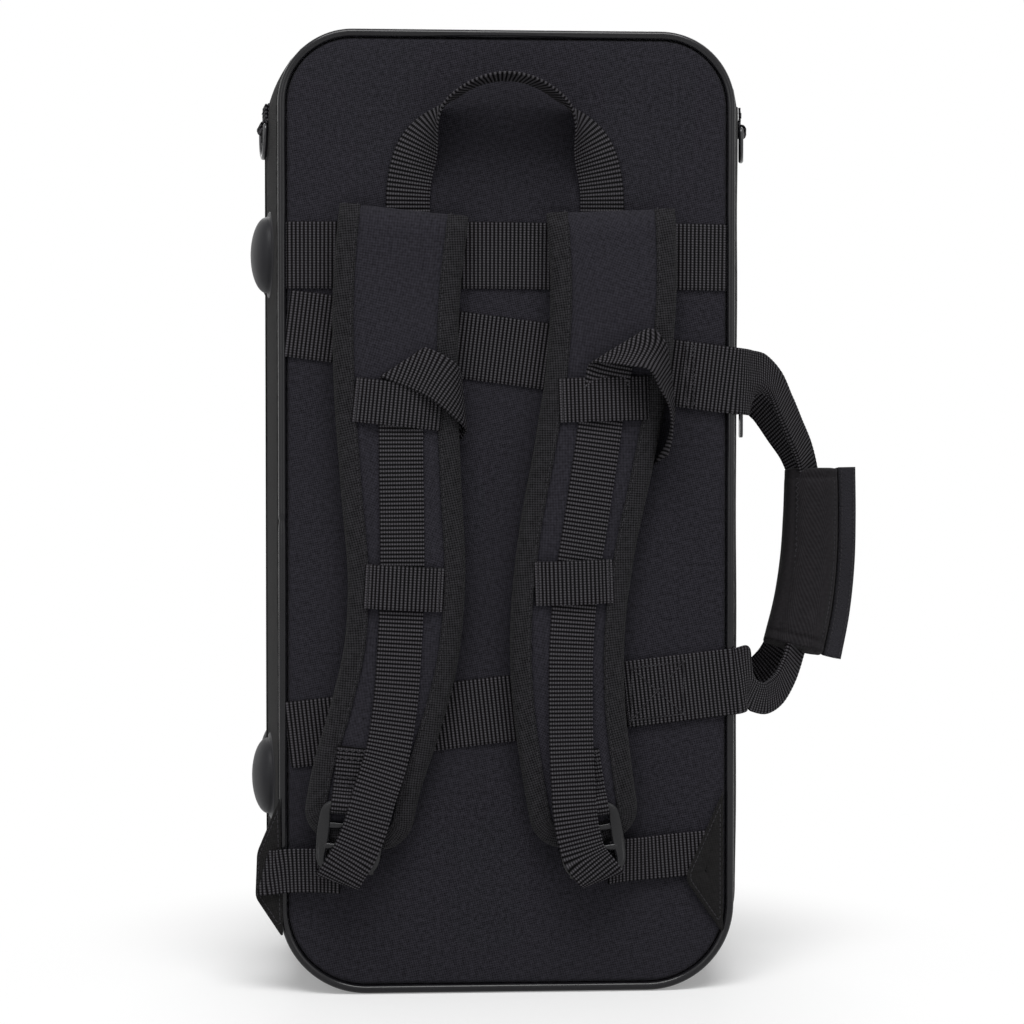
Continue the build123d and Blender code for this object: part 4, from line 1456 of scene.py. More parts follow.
@dataclass
class SewnWebbing(Workshop):
    """Bands across both panels, the haul loop and the carrying loops."""

    wide: float = 0.038
    narrow: float = 0.025
    thick: float = 0.0015
    sleeve_wide: float = 0.0152
    sleeve_high: float = 0.0104
    sleeve_round: float = 0.55
    sleeve_seams: tuple[float, float] = (-0.0105, 0.0125)
    haul_middle: float = -0.0015
    haul_span: float = 0.111
    haul_foot: float = 0.453
    haul_rise: float = 0.068
    haul_stand: float = 0.022
    loop_anchors: tuple[float, float] = (0.3517, 0.1793)
    loop_starts: tuple[float, float] = (0.100, 0.068)

    def build(self) -> None:
        """Builds every piece of webbing that is sewn to the case."""
        for spec in BANDS:
            self.band(spec)
        self.haul_loop()
        for half in Half:
            self.carrying_loop(half)
        self.grip()

    def band(self, spec: BandSpec) -> None:
        """One band, its ends turned down into the seam.

        Args:
            spec: Sizes of the band.
        """
        form = self.form
        reach = form.panel_width / 2 - 2 * form.piping - form.seam + 0.0001
        sides = np.arange(-reach, reach, RIB_STEP)
        slope = (spec.right - spec.left) / form.panel_width
        heights = (spec.left + spec.right) / 2 + slope * sides
        bow = 0.0006 * ripple(sides, sides * 0, 0.15, 21)
        line = form.on_panel(spec.half, sides, heights + bow, self.thick / 2 + 0.0001)
        across = np.array([-slope, 0, 1.0]) * -spec.half.value
        piece = self.webbing(f"{spec.name}_webbing", line, across, (self.wide, self.thick))
        settle(piece, spec.half.body, [spec.name])

    def haul_loop(self) -> None:
        """Loop of narrow webbing, flat at its feet and edge-on at its top."""
        form = self.form
        turns = np.linspace(0, pi, 90)
        up = np.sin(turns)
        side = self.haul_middle - self.haul_span / 2 * np.cos(turns)
        lift = self.thick / 2 + 0.0002 + self.haul_stand * up**2
        height = self.haul_foot + self.haul_rise * up
        loop = np.column_stack([side, -(form.face(Half.BACK) + lift), height])
        low = np.array([[0, -0.0003, -0.0105], [0, -0.0001, -0.005]])
        loop = np.concatenate([loop[:1] + low, loop, loop[-1:] + low[::-1]])
        run = tangents(loop)
        steep = np.degrees(np.minimum(turns, pi - turns))
        share = np.concatenate([[0, 0], ease((steep - 14) / 44), [0, 0]])[:, None]
        spread = np.cross(run, OUT) * np.cos(share * pi / 2) + OUT * np.sin(share * pi / 2)
        rows = smooth_line(np.concatenate([loop, spread], 1), RIB_STEP)
        size = (self.narrow, self.thick)
        piece = self.webbing("haul_loop_webbing", rows[:, :3], rows[:, 3:], size)
        join_bodies(piece, "case_back", (0, -0.085, 0.4505), (0, -0.085, 0.4575),
                    ["haul_loop", "haul_roots"])

    def loop_frame(self, half: Half) -> tuple[Points, Points, Points]:
        """Origin, way out and normal of the plane that a carrying loop lies in.

        Args:
            half: The half of the case.

        Returns:
            Origin, way out and normal.
        """
        lean = radians(50 if half is Half.BACK else 46)
        origin = np.array([0.1336, half.value * (self.form.face(half) + 0.0024), 0.0])
        away = np.array([cos(lean), -half.value * sin(lean), 0.0])
        normal = np.array([sin(lean), half.value * cos(lean), 0.0])
        return origin, away, normal

    def loop_rows(self, half: Half) -> tuple[Points, Points, Points]:
        """Middle line of a carrying loop with its sewn ends.

        Args:
            half: The half that it is sewn to.

        Returns:
            The points, the directions across and how far the webbing is folded.
        """
        origin, away, _ = self.loop_frame(half)
        plane = [(0.012, 0.3517), (0.026, 0.3525), (0.040, 0.3495), (0.052, 0.3390),
                 (0.064, 0.3250), (0.0755, 0.3110),
                 (0.0822, 0.2960), (0.0838, 0.2720), (0.0828, 0.2475), (0.0778, 0.2200),
                 (0.0664, 0.1940),
                 (0.0560, 0.1790), (0.0430, 0.1695), (0.0300, 0.1675), (0.0200, 0.1725),
                 (0.012, 0.1793)]
        loop = np.array([origin + away * u + np.array([0, 0, w]) for u, w in plane])
        slopes = ((0.352 - 0.385) / 0.262, (0.179 - 0.1485) / 0.262)
        ends = []
        for start, anchor, slope in zip(self.loop_starts, self.loop_anchors, slopes):
            sides = np.array([start, (start + 0.122) / 2, 0.122, 0.131])
            heights = anchor + slope * (sides - 0.1336)
            lift = np.array([self.thick * 1.5, self.thick * 1.5, self.thick * 1.5, 0.0031])
            row = self.form.on_panel(half, sides, heights, lift)
            row[-1, 1] = half.value * (self.form.face(half) + 0.0018)
            ends.append(row)
        path = np.concatenate([ends[0], loop, ends[1][::-1]])
        run = tangents(path)
        normal = np.tile(np.array([0.0, half.value * 1.0, 0.0]), (len(path), 1))
        normal[len(ends[0]):-len(ends[1])] = self.loop_frame(half)[2]
        across = unit(np.cross(normal, run))
        fold = np.zeros(len(path))
        fold[len(ends[0]):-len(ends[1])] = [0.05, 0.30, 0.78, 1, 1, 1, 1, 1, 1, 1, 1, 1, 1, 0.92,
                                            0.5, 0.1]
        rows = smooth_line(np.column_stack([path, across, fold]), RIB_STEP)
        return rows[:, :3], rows[:, 3:6], np.clip(rows[:, 6], 0, 1)

    def carrying_loop(self, half: Half) -> None:
        """Loop of wide webbing, folded double at the grip, its ends sewn over the bands.

        Args:
            half: The half of the case.
        """
        line, across, fold = self.loop_rows(half)
        roots = "handle_roots" if half is Half.BACK else "lid_handle_roots"
        size = (self.wide, self.thick)
        piece = self.webbing(f"{half.prefix}_carrying_loop", line, across, size, fold=fold)
        face = half.value * self.form.face(half)
        join_bodies(piece, half.body, (0.1315, face, 0.26),
                    (0.139, face, 0.26),
                    [f"{half.prefix}_handle", roots])
        self.root_stitches(half)

    def root_stitches(self, half: Half) -> None:
        """Crossed box and zigzag rows that hold the ends of a carrying loop.

        Args:
            half: The half of the case.
        """
        kit = MeshKit()
        lift = self.thick * 2 + 0.0002
        out = np.array([0.0, half.value * 1.0, 0.0])
        slopes = (-0.126, 0.1164)
        for start, anchor, slope in zip(self.loop_starts, self.loop_anchors, slopes):
            def spot(x: float, z: float) -> tuple[float, float]:
                """Place on the sewn end from its corner."""
                return start + x, anchor + slope * (start - 0.1336 + x) + z
            rows = []
            if slope > 0:
                corners = [spot(0.003, -0.015), spot(0.003, 0.015), spot(0.033, 0.015),
                           spot(0.033, -0.015)]
                rows += [(corners[i], corners[(i + 1) % 4], 0.0) for i in range(4)]
                rows += [(corners[0], corners[2], 0.0), (corners[1], corners[3], 0.0)]
            else:
                rows.append((spot(0.0025, -0.017), spot(0.0025, 0.017), 0.0))
                rows.append((spot(0.0065, -0.017), spot(0.0065, 0.017), 0.0011))
            for first, last, slant in rows:
                share = np.linspace(0, 1, 40)
                x = first[0] + (last[0] - first[0]) * share
                z = first[1] + (last[1] - first[1]) * share
                line = self.form.on_panel(half, x, z, lift)
                stitches(kit, line, out, pitch=0.0016 if slant else 0.0026, slant=slant)
        self.sew(kit, f"{half.prefix}_loop", half.body, "webbing")

    def grip(self) -> None:
        """Padded sleeve round the back carrying loop, with its fastening flap."""
        origin, away, _ = self.loop_frame(Half.BACK)
        plane = [(0.0830, 0.3020), (0.0838, 0.2720), (0.0828, 0.2475), (0.0772, 0.2200),
                 (0.0664, 0.1930)]
        line = smooth_line([origin + away * u + np.array([0, 0, w]) for u, w in plane], 0.0015)
        run = tangents(line)
        across = unit(np.array([1.0, 0.0, 0.0]) - run * run[:, :1])
        normal = unit(np.cross(run, across))
        length = run_length(line)
        ends = np.minimum(length, length[-1] - length)
        self.sleeve(line, across, normal, ends)
        self.flap(line, across, normal, length)

    def sleeve(self, line: Points, across: Points, normal: Points, ends: Points) -> None:
        """Padded body of the grip and the sewn flange beside it.

        Args:
            line: Points of the middle line.
            across: Direction across at each point.
            normal: Direction outwards at each point.
            ends: Distance to the nearer end of the sleeve.
        """
        turn = ring_turns(48)
        wide, high = self.sleeve_wide, self.sleeve_high
        inner, outer = self.sleeve_seams
        cosine, sine = np.cos(turn), np.sin(turn)
        flat = np.sign(cosine) * np.abs(cosine) ** self.sleeve_round * wide
        lift = np.sign(sine) * np.abs(sine) ** self.sleeve_round
        stitch = 1 - 0.16 * np.exp(-(((flat - inner) / 0.0011) ** 2))
        stitch = stitch - 0.1 * np.exp(-(((flat - outer) / 0.001) ** 2))
        pinch = 0.84 + 0.16 * ease(ends / 0.012)
        hem = 1 - 0.22 * np.exp(-(((ends - 0.0055) / 0.001) ** 2))
        thick = high * (pinch * hem)[:, None] * (lift * stitch)[None, :]
        crease = 1 + 0.035 * ripple(run_length(line)[:, None], flat[None, :], 0.02, 31)
        length = run_length(line)
        fuller = 1 + 0.38 * (flat < 0)[None, :] * (0.1 + 0.9 * length / length[-1])[:, None]
        spread = across[:, None] * (flat[None, :] * fuller)[..., None]
        rows = line[:, None] + spread + normal[:, None] * (thick * crease)[..., None]
        uvs = texture(length[:, None], turn * 0.012)
        kit = MeshKit()
        kit.grid(rows, uvs)
        edge = [(0.0135, 0.0010), (0.0200, 0.0012), (0.0262, 0.0010), (0.0268, 0.0),
                (0.0262, -0.0010),
                (0.0200, -0.0012), (0.0135, -0.0010)]
        flange = np.stack([line + across * a + normal * (n - 0.0009) for a, n in edge], 1)
        uvs = texture(length[:, None], np.arange(len(edge)) * 0.004)
        kit.grid(flange, uvs)
        piece = kit.make("grip_sleeve", self.dress["grip"])
        smoothed(piece, 1)
        settle(piece, "back_handle", ["grip_wrap"])
        rows_kit = MeshKit()
        kept = slice(6, -6)
        for offset, slant in ((inner, 0.0012), (outer, 0.0)):
            height = high * 0.96 * (1 - abs(offset / wide) ** 3.6) ** 0.28
            seat = line[kept] + across[kept] * offset + normal[kept] * height
            stitches(rows_kit, seat, normal[kept], pitch=0.0018 if slant else 0.003, slant=slant)
        for end in (4, -5):
            places = np.linspace(-0.0095, 0.0115, 20)
            height = high * 0.74 * (1 - np.abs(places / wide) ** 3.6) ** 0.28
            seat = line[end] + across[end] * places[:, None] + normal[end] * height[:, None]
            stitches(rows_kit, seat, normal[end], pitch=0.0022)
        self.sew(rows_kit, "grip", "back_handle", "grip_cloth")

    def flap(self, line: Points, across: Points, normal: Points, length: Points) -> None:
        """Hook-and-loop flap that closes the sleeve.

        Args:
            line: Points of the middle line.
            across: Direction across at each point.
            normal: Direction outwards at each point.
            length: Distance along the line at each point.
        """
        section = [(0.0162, 0.0004), (0.0162, 0.0018), (0.0175, 0.0023), (0.0252, 0.0023),
                   (0.0266, 0.0018),
                   (0.0266, 0.0004)]
        rows = np.stack([line + across * a + normal * n for a, n in section], 1)
        uvs = texture(length[:, None], np.arange(len(section)) * 0.003)
        kit = MeshKit()
        kit.grid(rows, uvs)
        piece = kit.make("grip_flap", self.dress["hook"])
        settle(piece, "wrap_flap", ["wrap_flap"])
        kit = MeshKit()
        for offset in (0.0180, 0.0250):
            seat = line[2:-2] + across[2:-2] * offset + normal[2:-2] * 0.0024
            stitches(kit, seat, normal[2:-2], pitch=0.0028)
        self.sew(kit, "flap", "wrap_flap", "hook_tape")


def smoothed(piece: Piece, levels: int) -> None:
    """Adds and applies a subdivision of a soft piece.

    Args:
        piece: The piece.
        levels: How many times it is divided.
    """
    divide = piece.modifiers.new("smooth", "SUBSURF")
    divide.levels = levels
    divide.render_levels = levels
    apply_modifiers(piece)


# --- shoulder straps
@dataclass
class StrapSpec:
    """Lines of one shoulder strap, as side, height and lift above the back panel in millimetres."""

    side: Side
    line: tuple[tuple[float, float], ...]
    keepers: tuple[tuple[float, float, float, float], ...]
    buckle: tuple[float, float, float]
    tail: tuple[tuple[float, float, float, float], ...]
    crease: tuple[float, float, float, float, float, float]
    tuck: tuple[tuple[float, ...], ...]


LEFT_STRAP = StrapSpec(
    Side.LEFT,
    ((-59, 448), (-63, 408), (-64, 355), (-61, 292), (-58, 235), (-61, 197), (-70, 160), (-81, 124),
     (-88, 88)),
    ((338, -62.5, -6, 25.2), (234, -59.5, -3, 22.2)),
    (-90.0, 93.6, -6),
    ((-93, 82, 12.2, 14), (-95.6, 75, 12.6, 17), (-97, 70.4, 13.8, 19), (-97.5, 68.4, 16.6, 20),
     (-96.2, 70.2, 19.6, 21), (-93.1, 75.6, 21, 22.5), (-88.5, 83, 21.4, 23.5), (-83, 95, 21, 22),
     (-76.4, 116.5, 20.2, 18.5), (-69, 140, 17.6, 12), (-65, 163.5, 16.0, 6), (-62, 200, 15.2, 3),
     (-60.5, 234, 15.2, 0), (-60.5, 270, 15.2, 0), (-61, 310, 15.2, 0), (-61, 331, 15.2, 0)),
    (-60.4, 359.4, 15.6, 0, 33.5, 1.3),
    ((-50, 357.6, 19.0, 7.6, 9.9, 0), (-41, 353.2, 19.6, 5.2, 11.4, -0.6),
     (-33, 347.6, 18.0, 2.6, 12.2, -1.2),
     (-27.7, 342.0, 13.2, 0.2, 12.5, -1.0), (-25.4, 338.0, 7.8, -1.2, 12.4, 0),
     (-27.4, 334.0, 2.2, -1.0, 12.4, 0),
     (-32, 330.5, 1.0, 0, 12.5, 0)),
)
RIGHT_STRAP = StrapSpec(
    Side.RIGHT,
    ((58.4, 448), (59.9, 408), (57.4, 362), (48.9, 310), (38.9, 258), (33.9, 212), (34.4, 170),
     (39.4, 128), (45.9, 88)),
    ((341, 53.8, 2, 25.4), (237, 36.8, 2, 22.2)),
    (46.6, 91, 9),
    ((49.2, 82, 12.2, -14), (51.6, 75, 12.6, -17), (53, 70.2, 13.8, -19), (53.6, 68.2, 16.6, -20),
     (52, 70, 19.6, -22), (48, 75, 21, -25), (43.4, 81, 21.4, -25), (39.6, 92, 21, -18),
     (37.2, 106, 20.6, -6),
     (36.2, 122, 19.4, -3), (35.4, 140, 17.6, -2), (35, 165, 16.0, 0), (35.4, 200, 15.2, 2),
     (38.4, 237, 15.2, 7),
     (43.4, 270, 15.2, 9), (49.4, 310, 15.2, 10), (52.8, 334, 15.4, 12)),
    (58.9, 365.8, 19.0, 15, 31.4, 2.6),
    ((75.9, 366.8, 25.0, 9.6, 6.4, -3.0), (83.4, 360.6, 23.6, 7.1, 2.8, -9.8),
     (88.6, 347.8, 19.0, 4.9, 0.4, -11.5),
     (92.6, 332.0, 14.6, 2.4, -3.0, -11.8), (90.8, 317.6, 13.0, -0.6, -3.6, -11.8),
     (86, 306.6, 12.6, -3.0, -3.0, -11.7)),
)


@dataclass
class ShoulderStrap(Workshop):
    """One padded shoulder strap with its binding, keepers, buckle and tail."""

    spec: StrapSpec
    top_half: float = 0.036
    foot_half: float = 0.030
    low: float = 0.0022
    thick: float = 0.0118
    edge_thick: float = 0.0084
    toe_round: float = 0.018
    web: float = 0.025
    web_thick: float = 0.0015
    tail_thick: float = 0.0013
    keeper_arch: float = 0.0128
    tape_thick: float = 0.0006
    buckle_lift: float = 0.0148
    buckle_wide: float = 0.0152
    buckle_long: float = 0.0185

    def __post_init__(self) -> None:
        """Works out the names and the middle line."""
        self.name = self.spec.side.prefix
        self.body = f"{self.name}_strap"
        self.middle = smooth_line([(x * MM, 0.0, z * MM) for x, z in self.spec.line], 0.0025)
        self.length = run_length(self.middle)

    def build(self) -> None:
        """Builds the strap."""
        self.pad()
        self.binding()
        self.keepers()
        self.base_web()
        self.tail()
        self.buckle()

    def raised(self, flat: Points | Sequence[float], lift: Points | float) -> Points:
        """Points in the panel's plane, moved out to a lift above it.

        Args:
            flat: Points in the flat.
            lift: Height above the surface.

        Returns:
            One row for each point.
        """
        raised = np.array(flat, float)
        raised[..., 1] = -(self.form.face(Half.BACK) + np.asarray(lift, float))
        return raised

    def spot(self, x: float, z: float, lift: float) -> Points:
        """Point at a side, height and lift above the back panel, all in millimetres."""
        return np.array([x * MM, -(self.form.face(Half.BACK) + lift * MM), z * MM])

    def frame_at(self, place: Points) -> tuple[Points, Points]:
        """Points of the middle line at distances from its top, and the directions across.

        Args:
            place: Distances from the top.

        Returns:
            Points and directions across.
        """
        known = np.concatenate([self.middle, tangents(self.middle)], 1)
        found = np.stack([np.interp(place, self.length, column) for column in known.T], 1)
        return found[:, :3], unit(np.cross(found[:, 3:], OUT))

    def half_width(self, ahead: Points) -> Points:
        """Half width of the pad at distances back from its toe.

        Args:
            ahead: Distances back from the toe.

        Returns:
            Half width at each distance.
        """
        share = np.clip(1 - ahead / self.length[-1], 0, 1)
        half = self.top_half + (self.foot_half - self.top_half) * share
        inside = np.clip(self.toe_round - ahead, 0, self.toe_round)
        return half - self.toe_round + np.sqrt(np.maximum(self.toe_round**2 - inside**2, 0))

    def height(self, gap: Points, from_top: Points) -> tuple[Points, Points]:
        """Lift of the pad's faces.

        Args:
            gap: Distance in from the outline.
            from_top: Distance down from the sewn top.

        Returns:
            Lift of the back face and of the front face.
        """
        rise = ease((gap - 0.004) / 0.022)
        groove = 0.0009 * np.exp(-(((gap - 0.0098) / 0.0012) ** 2))
        swell = (self.thick - self.edge_thick) * rise
        rounding = np.sqrt(np.clip(gap / 0.0038, 0, 1) * (2 - np.clip(gap / 0.0038, 0, 1)))
        sewn = 0.35 + 0.65 * ease(from_top / 0.010)
        half = self.edge_thick / 2
        centre = self.low + self.thick / 2
        front = centre + (half * rounding + swell * 0.62 - groove) * sewn - (1 - sewn) * 0.002
        back = centre - (half * rounding + swell * 0.38 - groove) * sewn
        return np.maximum(back, self.low), front

    def pad(self) -> None:
        """Foam pad in its cloth, crowned and drawn in along its stitching."""
        count = 170
        ahead = self.length[-1] * (1 - np.linspace(0, 1, count) ** 0.8)
        ahead[-1] = 0.00002
        place = self.length[-1] - ahead
        middle, across = self.frame_at(place)
        half = self.half_width(ahead) - 0.0012
        share = np.sin(np.linspace(-pi / 2, pi / 2, 31))
        flat = middle[:, None] + across[:, None] * (half[:, None] * share[None, :])[..., None]
        gap = np.minimum(half[:, None] * (1 - np.abs(share))[None, :], ahead[:, None])
        from_top = np.broadcast_to(place[:, None], gap.shape)
        back, front = self.height(gap, from_top)
        seed = 40 + self.spec.side.value
        inside = gap - 0.009
        wrinkle = 0.00035 * ripple(place[:, None], flat[..., 0], 0.035, seed) * ease(inside / 0.01)
        tired = 0.0005 * ripple(place[:, None], flat[..., 0] * 0.5, 0.09, seed + 5)
        tired = tired * ease(inside / 0.012)
        dent = np.zeros_like(front)
        for height, _, _, _ in self.spec.keepers:
            dent += 0.0007 * np.exp(-(((flat[..., 2] - height * MM) / 0.013) ** 4))
        cover = self.raised(flat, front + wrinkle + tired - dent)
        rows = np.concatenate([cover, self.raised(flat, back)[:, ::-1]], 1)
        across_run = half[:, None] * share[None, :]
        uvs = texture(place[:, None], across_run)
        kit = MeshKit()
        kit.grid(rows, np.concatenate([uvs, uvs[:, ::-1] + 0.1], 1))
        piece = kit.make(f"{self.name}_pad_cushion", self.dress["pad"])
        turn_outwards(piece, weld=0.00005)
        settle(piece, self.body, [f"{self.name}_pad"])

    def outline(self) -> tuple[Points, Points]:
        """Edge of the strap from its left top, round the toe, to its right top.

        Returns:
            The points and the directions towards the middle of the strap.
        """
        place = np.concatenate([np.arange(0, self.length[-1] - self.toe_round, 0.0025),
                                self.length[-1] - self.toe_round * (1 - np.sin(np.linspace(0,
                                                                                           pi / 2,
                                                                                           20)))])
        ahead = self.length[-1] - place
        middle, across = self.frame_at(place)
        half = self.half_width(ahead)[:, None]
        first, second = middle + across * half, middle - across * half
        line = respaced(np.concatenate([first, second[::-1]]), 0.0022)
        inward = np.cross(tangents(line), OUT)
        middle_row = len(line) // 4
        if inward[middle_row] @ (self.nearest(line[middle_row]) - line[middle_row]) < 0:
            inward = -inward
        return line, inward

    def nearest(self, point: Points) -> Points:
        """Nearest point of the strap's middle line."""
        return self.middle[np.argmin(np.linalg.norm(self.middle - point, axis=1))]

    def binding(self) -> None:
        """Twill tape folded round the sides and toe, with its stitches."""
        line, inward = self.outline()
        length = run_length(line)
        from_top = np.minimum(length, length[-1] - length)
        gaps = np.array([0.0112, 0.0100, 0.0085, 0.0060, 0.0035, 0.0018, 0.0007, 0.0])
        back, front = self.height(*np.broadcast_arrays(gaps, from_top[:, None]))
        over = 0.0007 + 0.00012 * ripple(length[:, None], gaps[None, :], 0.012, 51)
        fade = np.clip(gaps / 0.0018, 0, 1)[None, :]
        flat = line[:, None] + inward[:, None] * gaps[None, :, None]
        flat = flat - inward[:, None] * ((1 - fade) * 0.0002)[..., None]
        top = self.raised(flat, front + over * fade)
        low = self.raised(flat, np.maximum(back - over * fade * 0.4, 0.0019))
        rows = np.concatenate([top, low[:, ::-1][:, 1:]], 1)
        uvs = texture(length[:, None], run_length(rows[10]))
        kit = MeshKit()
        kit.grid(rows, uvs, wrap_ring=False)
        piece = kit.make(f"{self.name}_binding_tape", self.dress["tape"])
        thicken(piece, self.tape_thick, 1)
        settle(piece, self.body, [f"{self.name}_binding"])
        kit = MeshKit()
        gap = 0.0096
        height = self.height(np.full(len(line), gap), from_top)[1] + 0.0013
        stitches(kit, self.raised(line + inward * gap, height), OUT)
        self.sew(kit, f"{self.name}_binding", self.body, "binding_tape")

    def keepers(self) -> None:
        """Two webs sewn across the pad and arched over the tail."""
        kit, thread = MeshKit(), MeshKit()
        arch = self.keeper_arch
        top = self.low + self.thick + self.web_thick / 2
        for height, side, tilt, reach in self.spec.keepers:
            foot = reach * MM
            hem = (foot + arch) / 2
            along = in_panel(tilt)
            place = np.array([side * MM, 0.0, height * MM])
            spots = [(-foot, -0.0010), (-hem, 0.0001), (-arch, 0.0021), (-0.008, 0.0027),
                     (0, 0.0029),
                     (0.008, 0.0027), (arch, 0.0021), (hem, 0.0001), (foot, -0.0010)]
            knots = np.array([self.raised(place + along * u, top + lift) for u, lift in spots])
            line = smooth_line(knots, RIB_STEP)
            across = np.cross(along, OUT)
            ribbon(kit, line, across, self.web, self.web_thick)
            for end in (0.002 - foot, foot - 0.002):
                row = place + along * end + across * np.linspace(-0.0115, 0.0115, 12)[:, None]
                seat = self.raised(row, top + self.web_thick / 2 - 0.0007)
                stitches(thread, seat, OUT, pitch=0.0024)
        piece = kit.make(f"{self.name}_keeper_webs", self.dress["webbing"])
        settle(piece, self.body, [f"{self.name}_keepers"])
        self.sew(thread, f"{self.name}_keeper", self.body, "webbing")

    def base_web(self) -> None:
        """Short doubled web that ties the buckle to the pad, with its zigzag."""
        side, height, lean = self.spec.buckle
        rise = in_panel(90 + lean)
        across = in_panel(lean)
        centre = np.array([side * MM, 0.0, height * MM])
        top = self.low + self.thick
        spots = [(0.0128, 0.0012), (0.0136, 0.0036), (0.0158, 0.0056), (0.0192, 0.0060),
                 (0.0222, 0.0046),
                 (0.0252, 0.0020), (0.031, 0.0011), (0.0505, 0.0009)]
        knots = np.array([self.raised(centre + rise * u, top + lift) for u, lift in spots])
        line = smooth_line(knots, RIB_STEP)
        size = (self.web, self.web_thick)
        piece = self.webbing(f"{self.name}_buckle_web", line, across, size)
        settle(piece, self.body, [f"{self.name}_base_web"])
        kit = MeshKit()
        for place in (0.0285, 0.033, 0.044, 0.0485):
            row = centre + rise * place + across * np.linspace(-0.0112, 0.0112, 12)[:, None]
            seat = self.raised(row, top + 0.0018)
            stitches(kit, seat, OUT, pitch=0.0017, slant=0.0011)
        self.sew(kit, f"{self.name}_buckle", self.body, "webbing")

    def tail(self) -> None:
        """Free end of the strap, up under both keepers, folded over and tucked behind the pad."""
        rows = []
        for x, z, lift, tilt in self.spec.tail:
            rows.append((*self.spot(x, z, lift), *in_panel(-tilt)))
        x, z, lift, lean, slant, radius = self.spec.crease
        run = in_panel(90 - lean)
        rows += crease(self.spot(x, z, lift), run, in_panel(slant), OUT, radius * MM).tolist()
        for x, z, lift, wide, high, out in self.spec.tuck:
            rows.append((*self.spot(x, z, lift), *unit(np.array([wide, -out, high]))))
        line = smooth_line(rows, RIB_STEP)
        size = (self.web, self.tail_thick)
        name = f"{self.name}_tail_webbing"
        piece = self.webbing(name, line[:, :3], line[:, 3:], size, skewed=True)
        settle(piece, self.body, [f"{self.name}_tail"])

    def buckle(self) -> None:
        """Ladder-lock buckle: two rounded rails, crossbars and a raised thumb lip."""
        side, height, lean = self.spec.buckle
        rise = in_panel(90 + lean)
        along = in_panel(lean)
        centre = self.raised([side * MM, 0.0, height * MM], self.buckle_lift)
        kit = MeshKit()
        half_wide, half_long = self.buckle_wide, self.buckle_long
        loop = rounded_run([(0, -half_long), (half_wide, -half_long), (half_wide, half_long),
                            (-half_wide, half_long),
                            (-half_wide, -half_long), (0, -half_long)], 0.007, 0.0008)[:-1]
        bend = 0.0022 * (loop[:, 1] / half_long) ** 2
        rail = centre + along * loop[:, :1] + rise * loop[:, 1:2] + OUT * bend[:, None]
        fuller = 0.0022 + 0.0016 * np.clip(1 - (loop[:, 1] / half_long) ** 2, 0, 1)
        self.rounded_bar(kit, rail, fuller, 0.0021, True)
        for place, lift, size in ((0.0055, 0.0, 0.0019), (-0.0065, 0.0006, 0.0021),
                                  (-0.0182, 0.0020, 0.0022)):
            share = np.linspace(-half_wide, half_wide, 14)
            bar = centre + along * share[:, None] + rise * place + OUT * lift
            self.rounded_bar(kit, bar, size, size * 0.8, False)
        piece = kit.make(f"{self.name}_ladder_lock", self.dress["buckle"])
        settle(piece, self.body, [f"{self.name}_buckle"])

    def rounded_bar(self, kit: MeshKit, line: Points, wide: Points | float, high: float,
                    closed: bool) -> None:
        """Adds a bar of flattened round section.

        Args:
            kit: Where the faces go.
            line: Points of its middle line.
            wide: Half width in the buckle's plane, or one for each point.
            high: Half height out of that plane.
            closed: Whether the bar is a loop.
        """
        side = unit(np.cross(tangents(line, closed), OUT))
        turn = ring_turns(14)
        reach = np.broadcast_to(np.asarray(wide, float), (len(line),))
        flat = (np.sign(np.cos(turn)) * np.abs(np.cos(turn)) ** 0.7)[None, :] * reach[:, None]
        lift = np.sign(np.sin(turn)) * np.abs(np.sin(turn)) ** 0.7 * high
        rows = line[:, None] + side[:, None] * flat[..., None] + OUT * lift[None, :, None]
        uvs = texture(np.arange(len(line))[:, None] * 0.001, turn * reach.mean())
        kit.grid(rows, uvs, wrap_rows=closed)


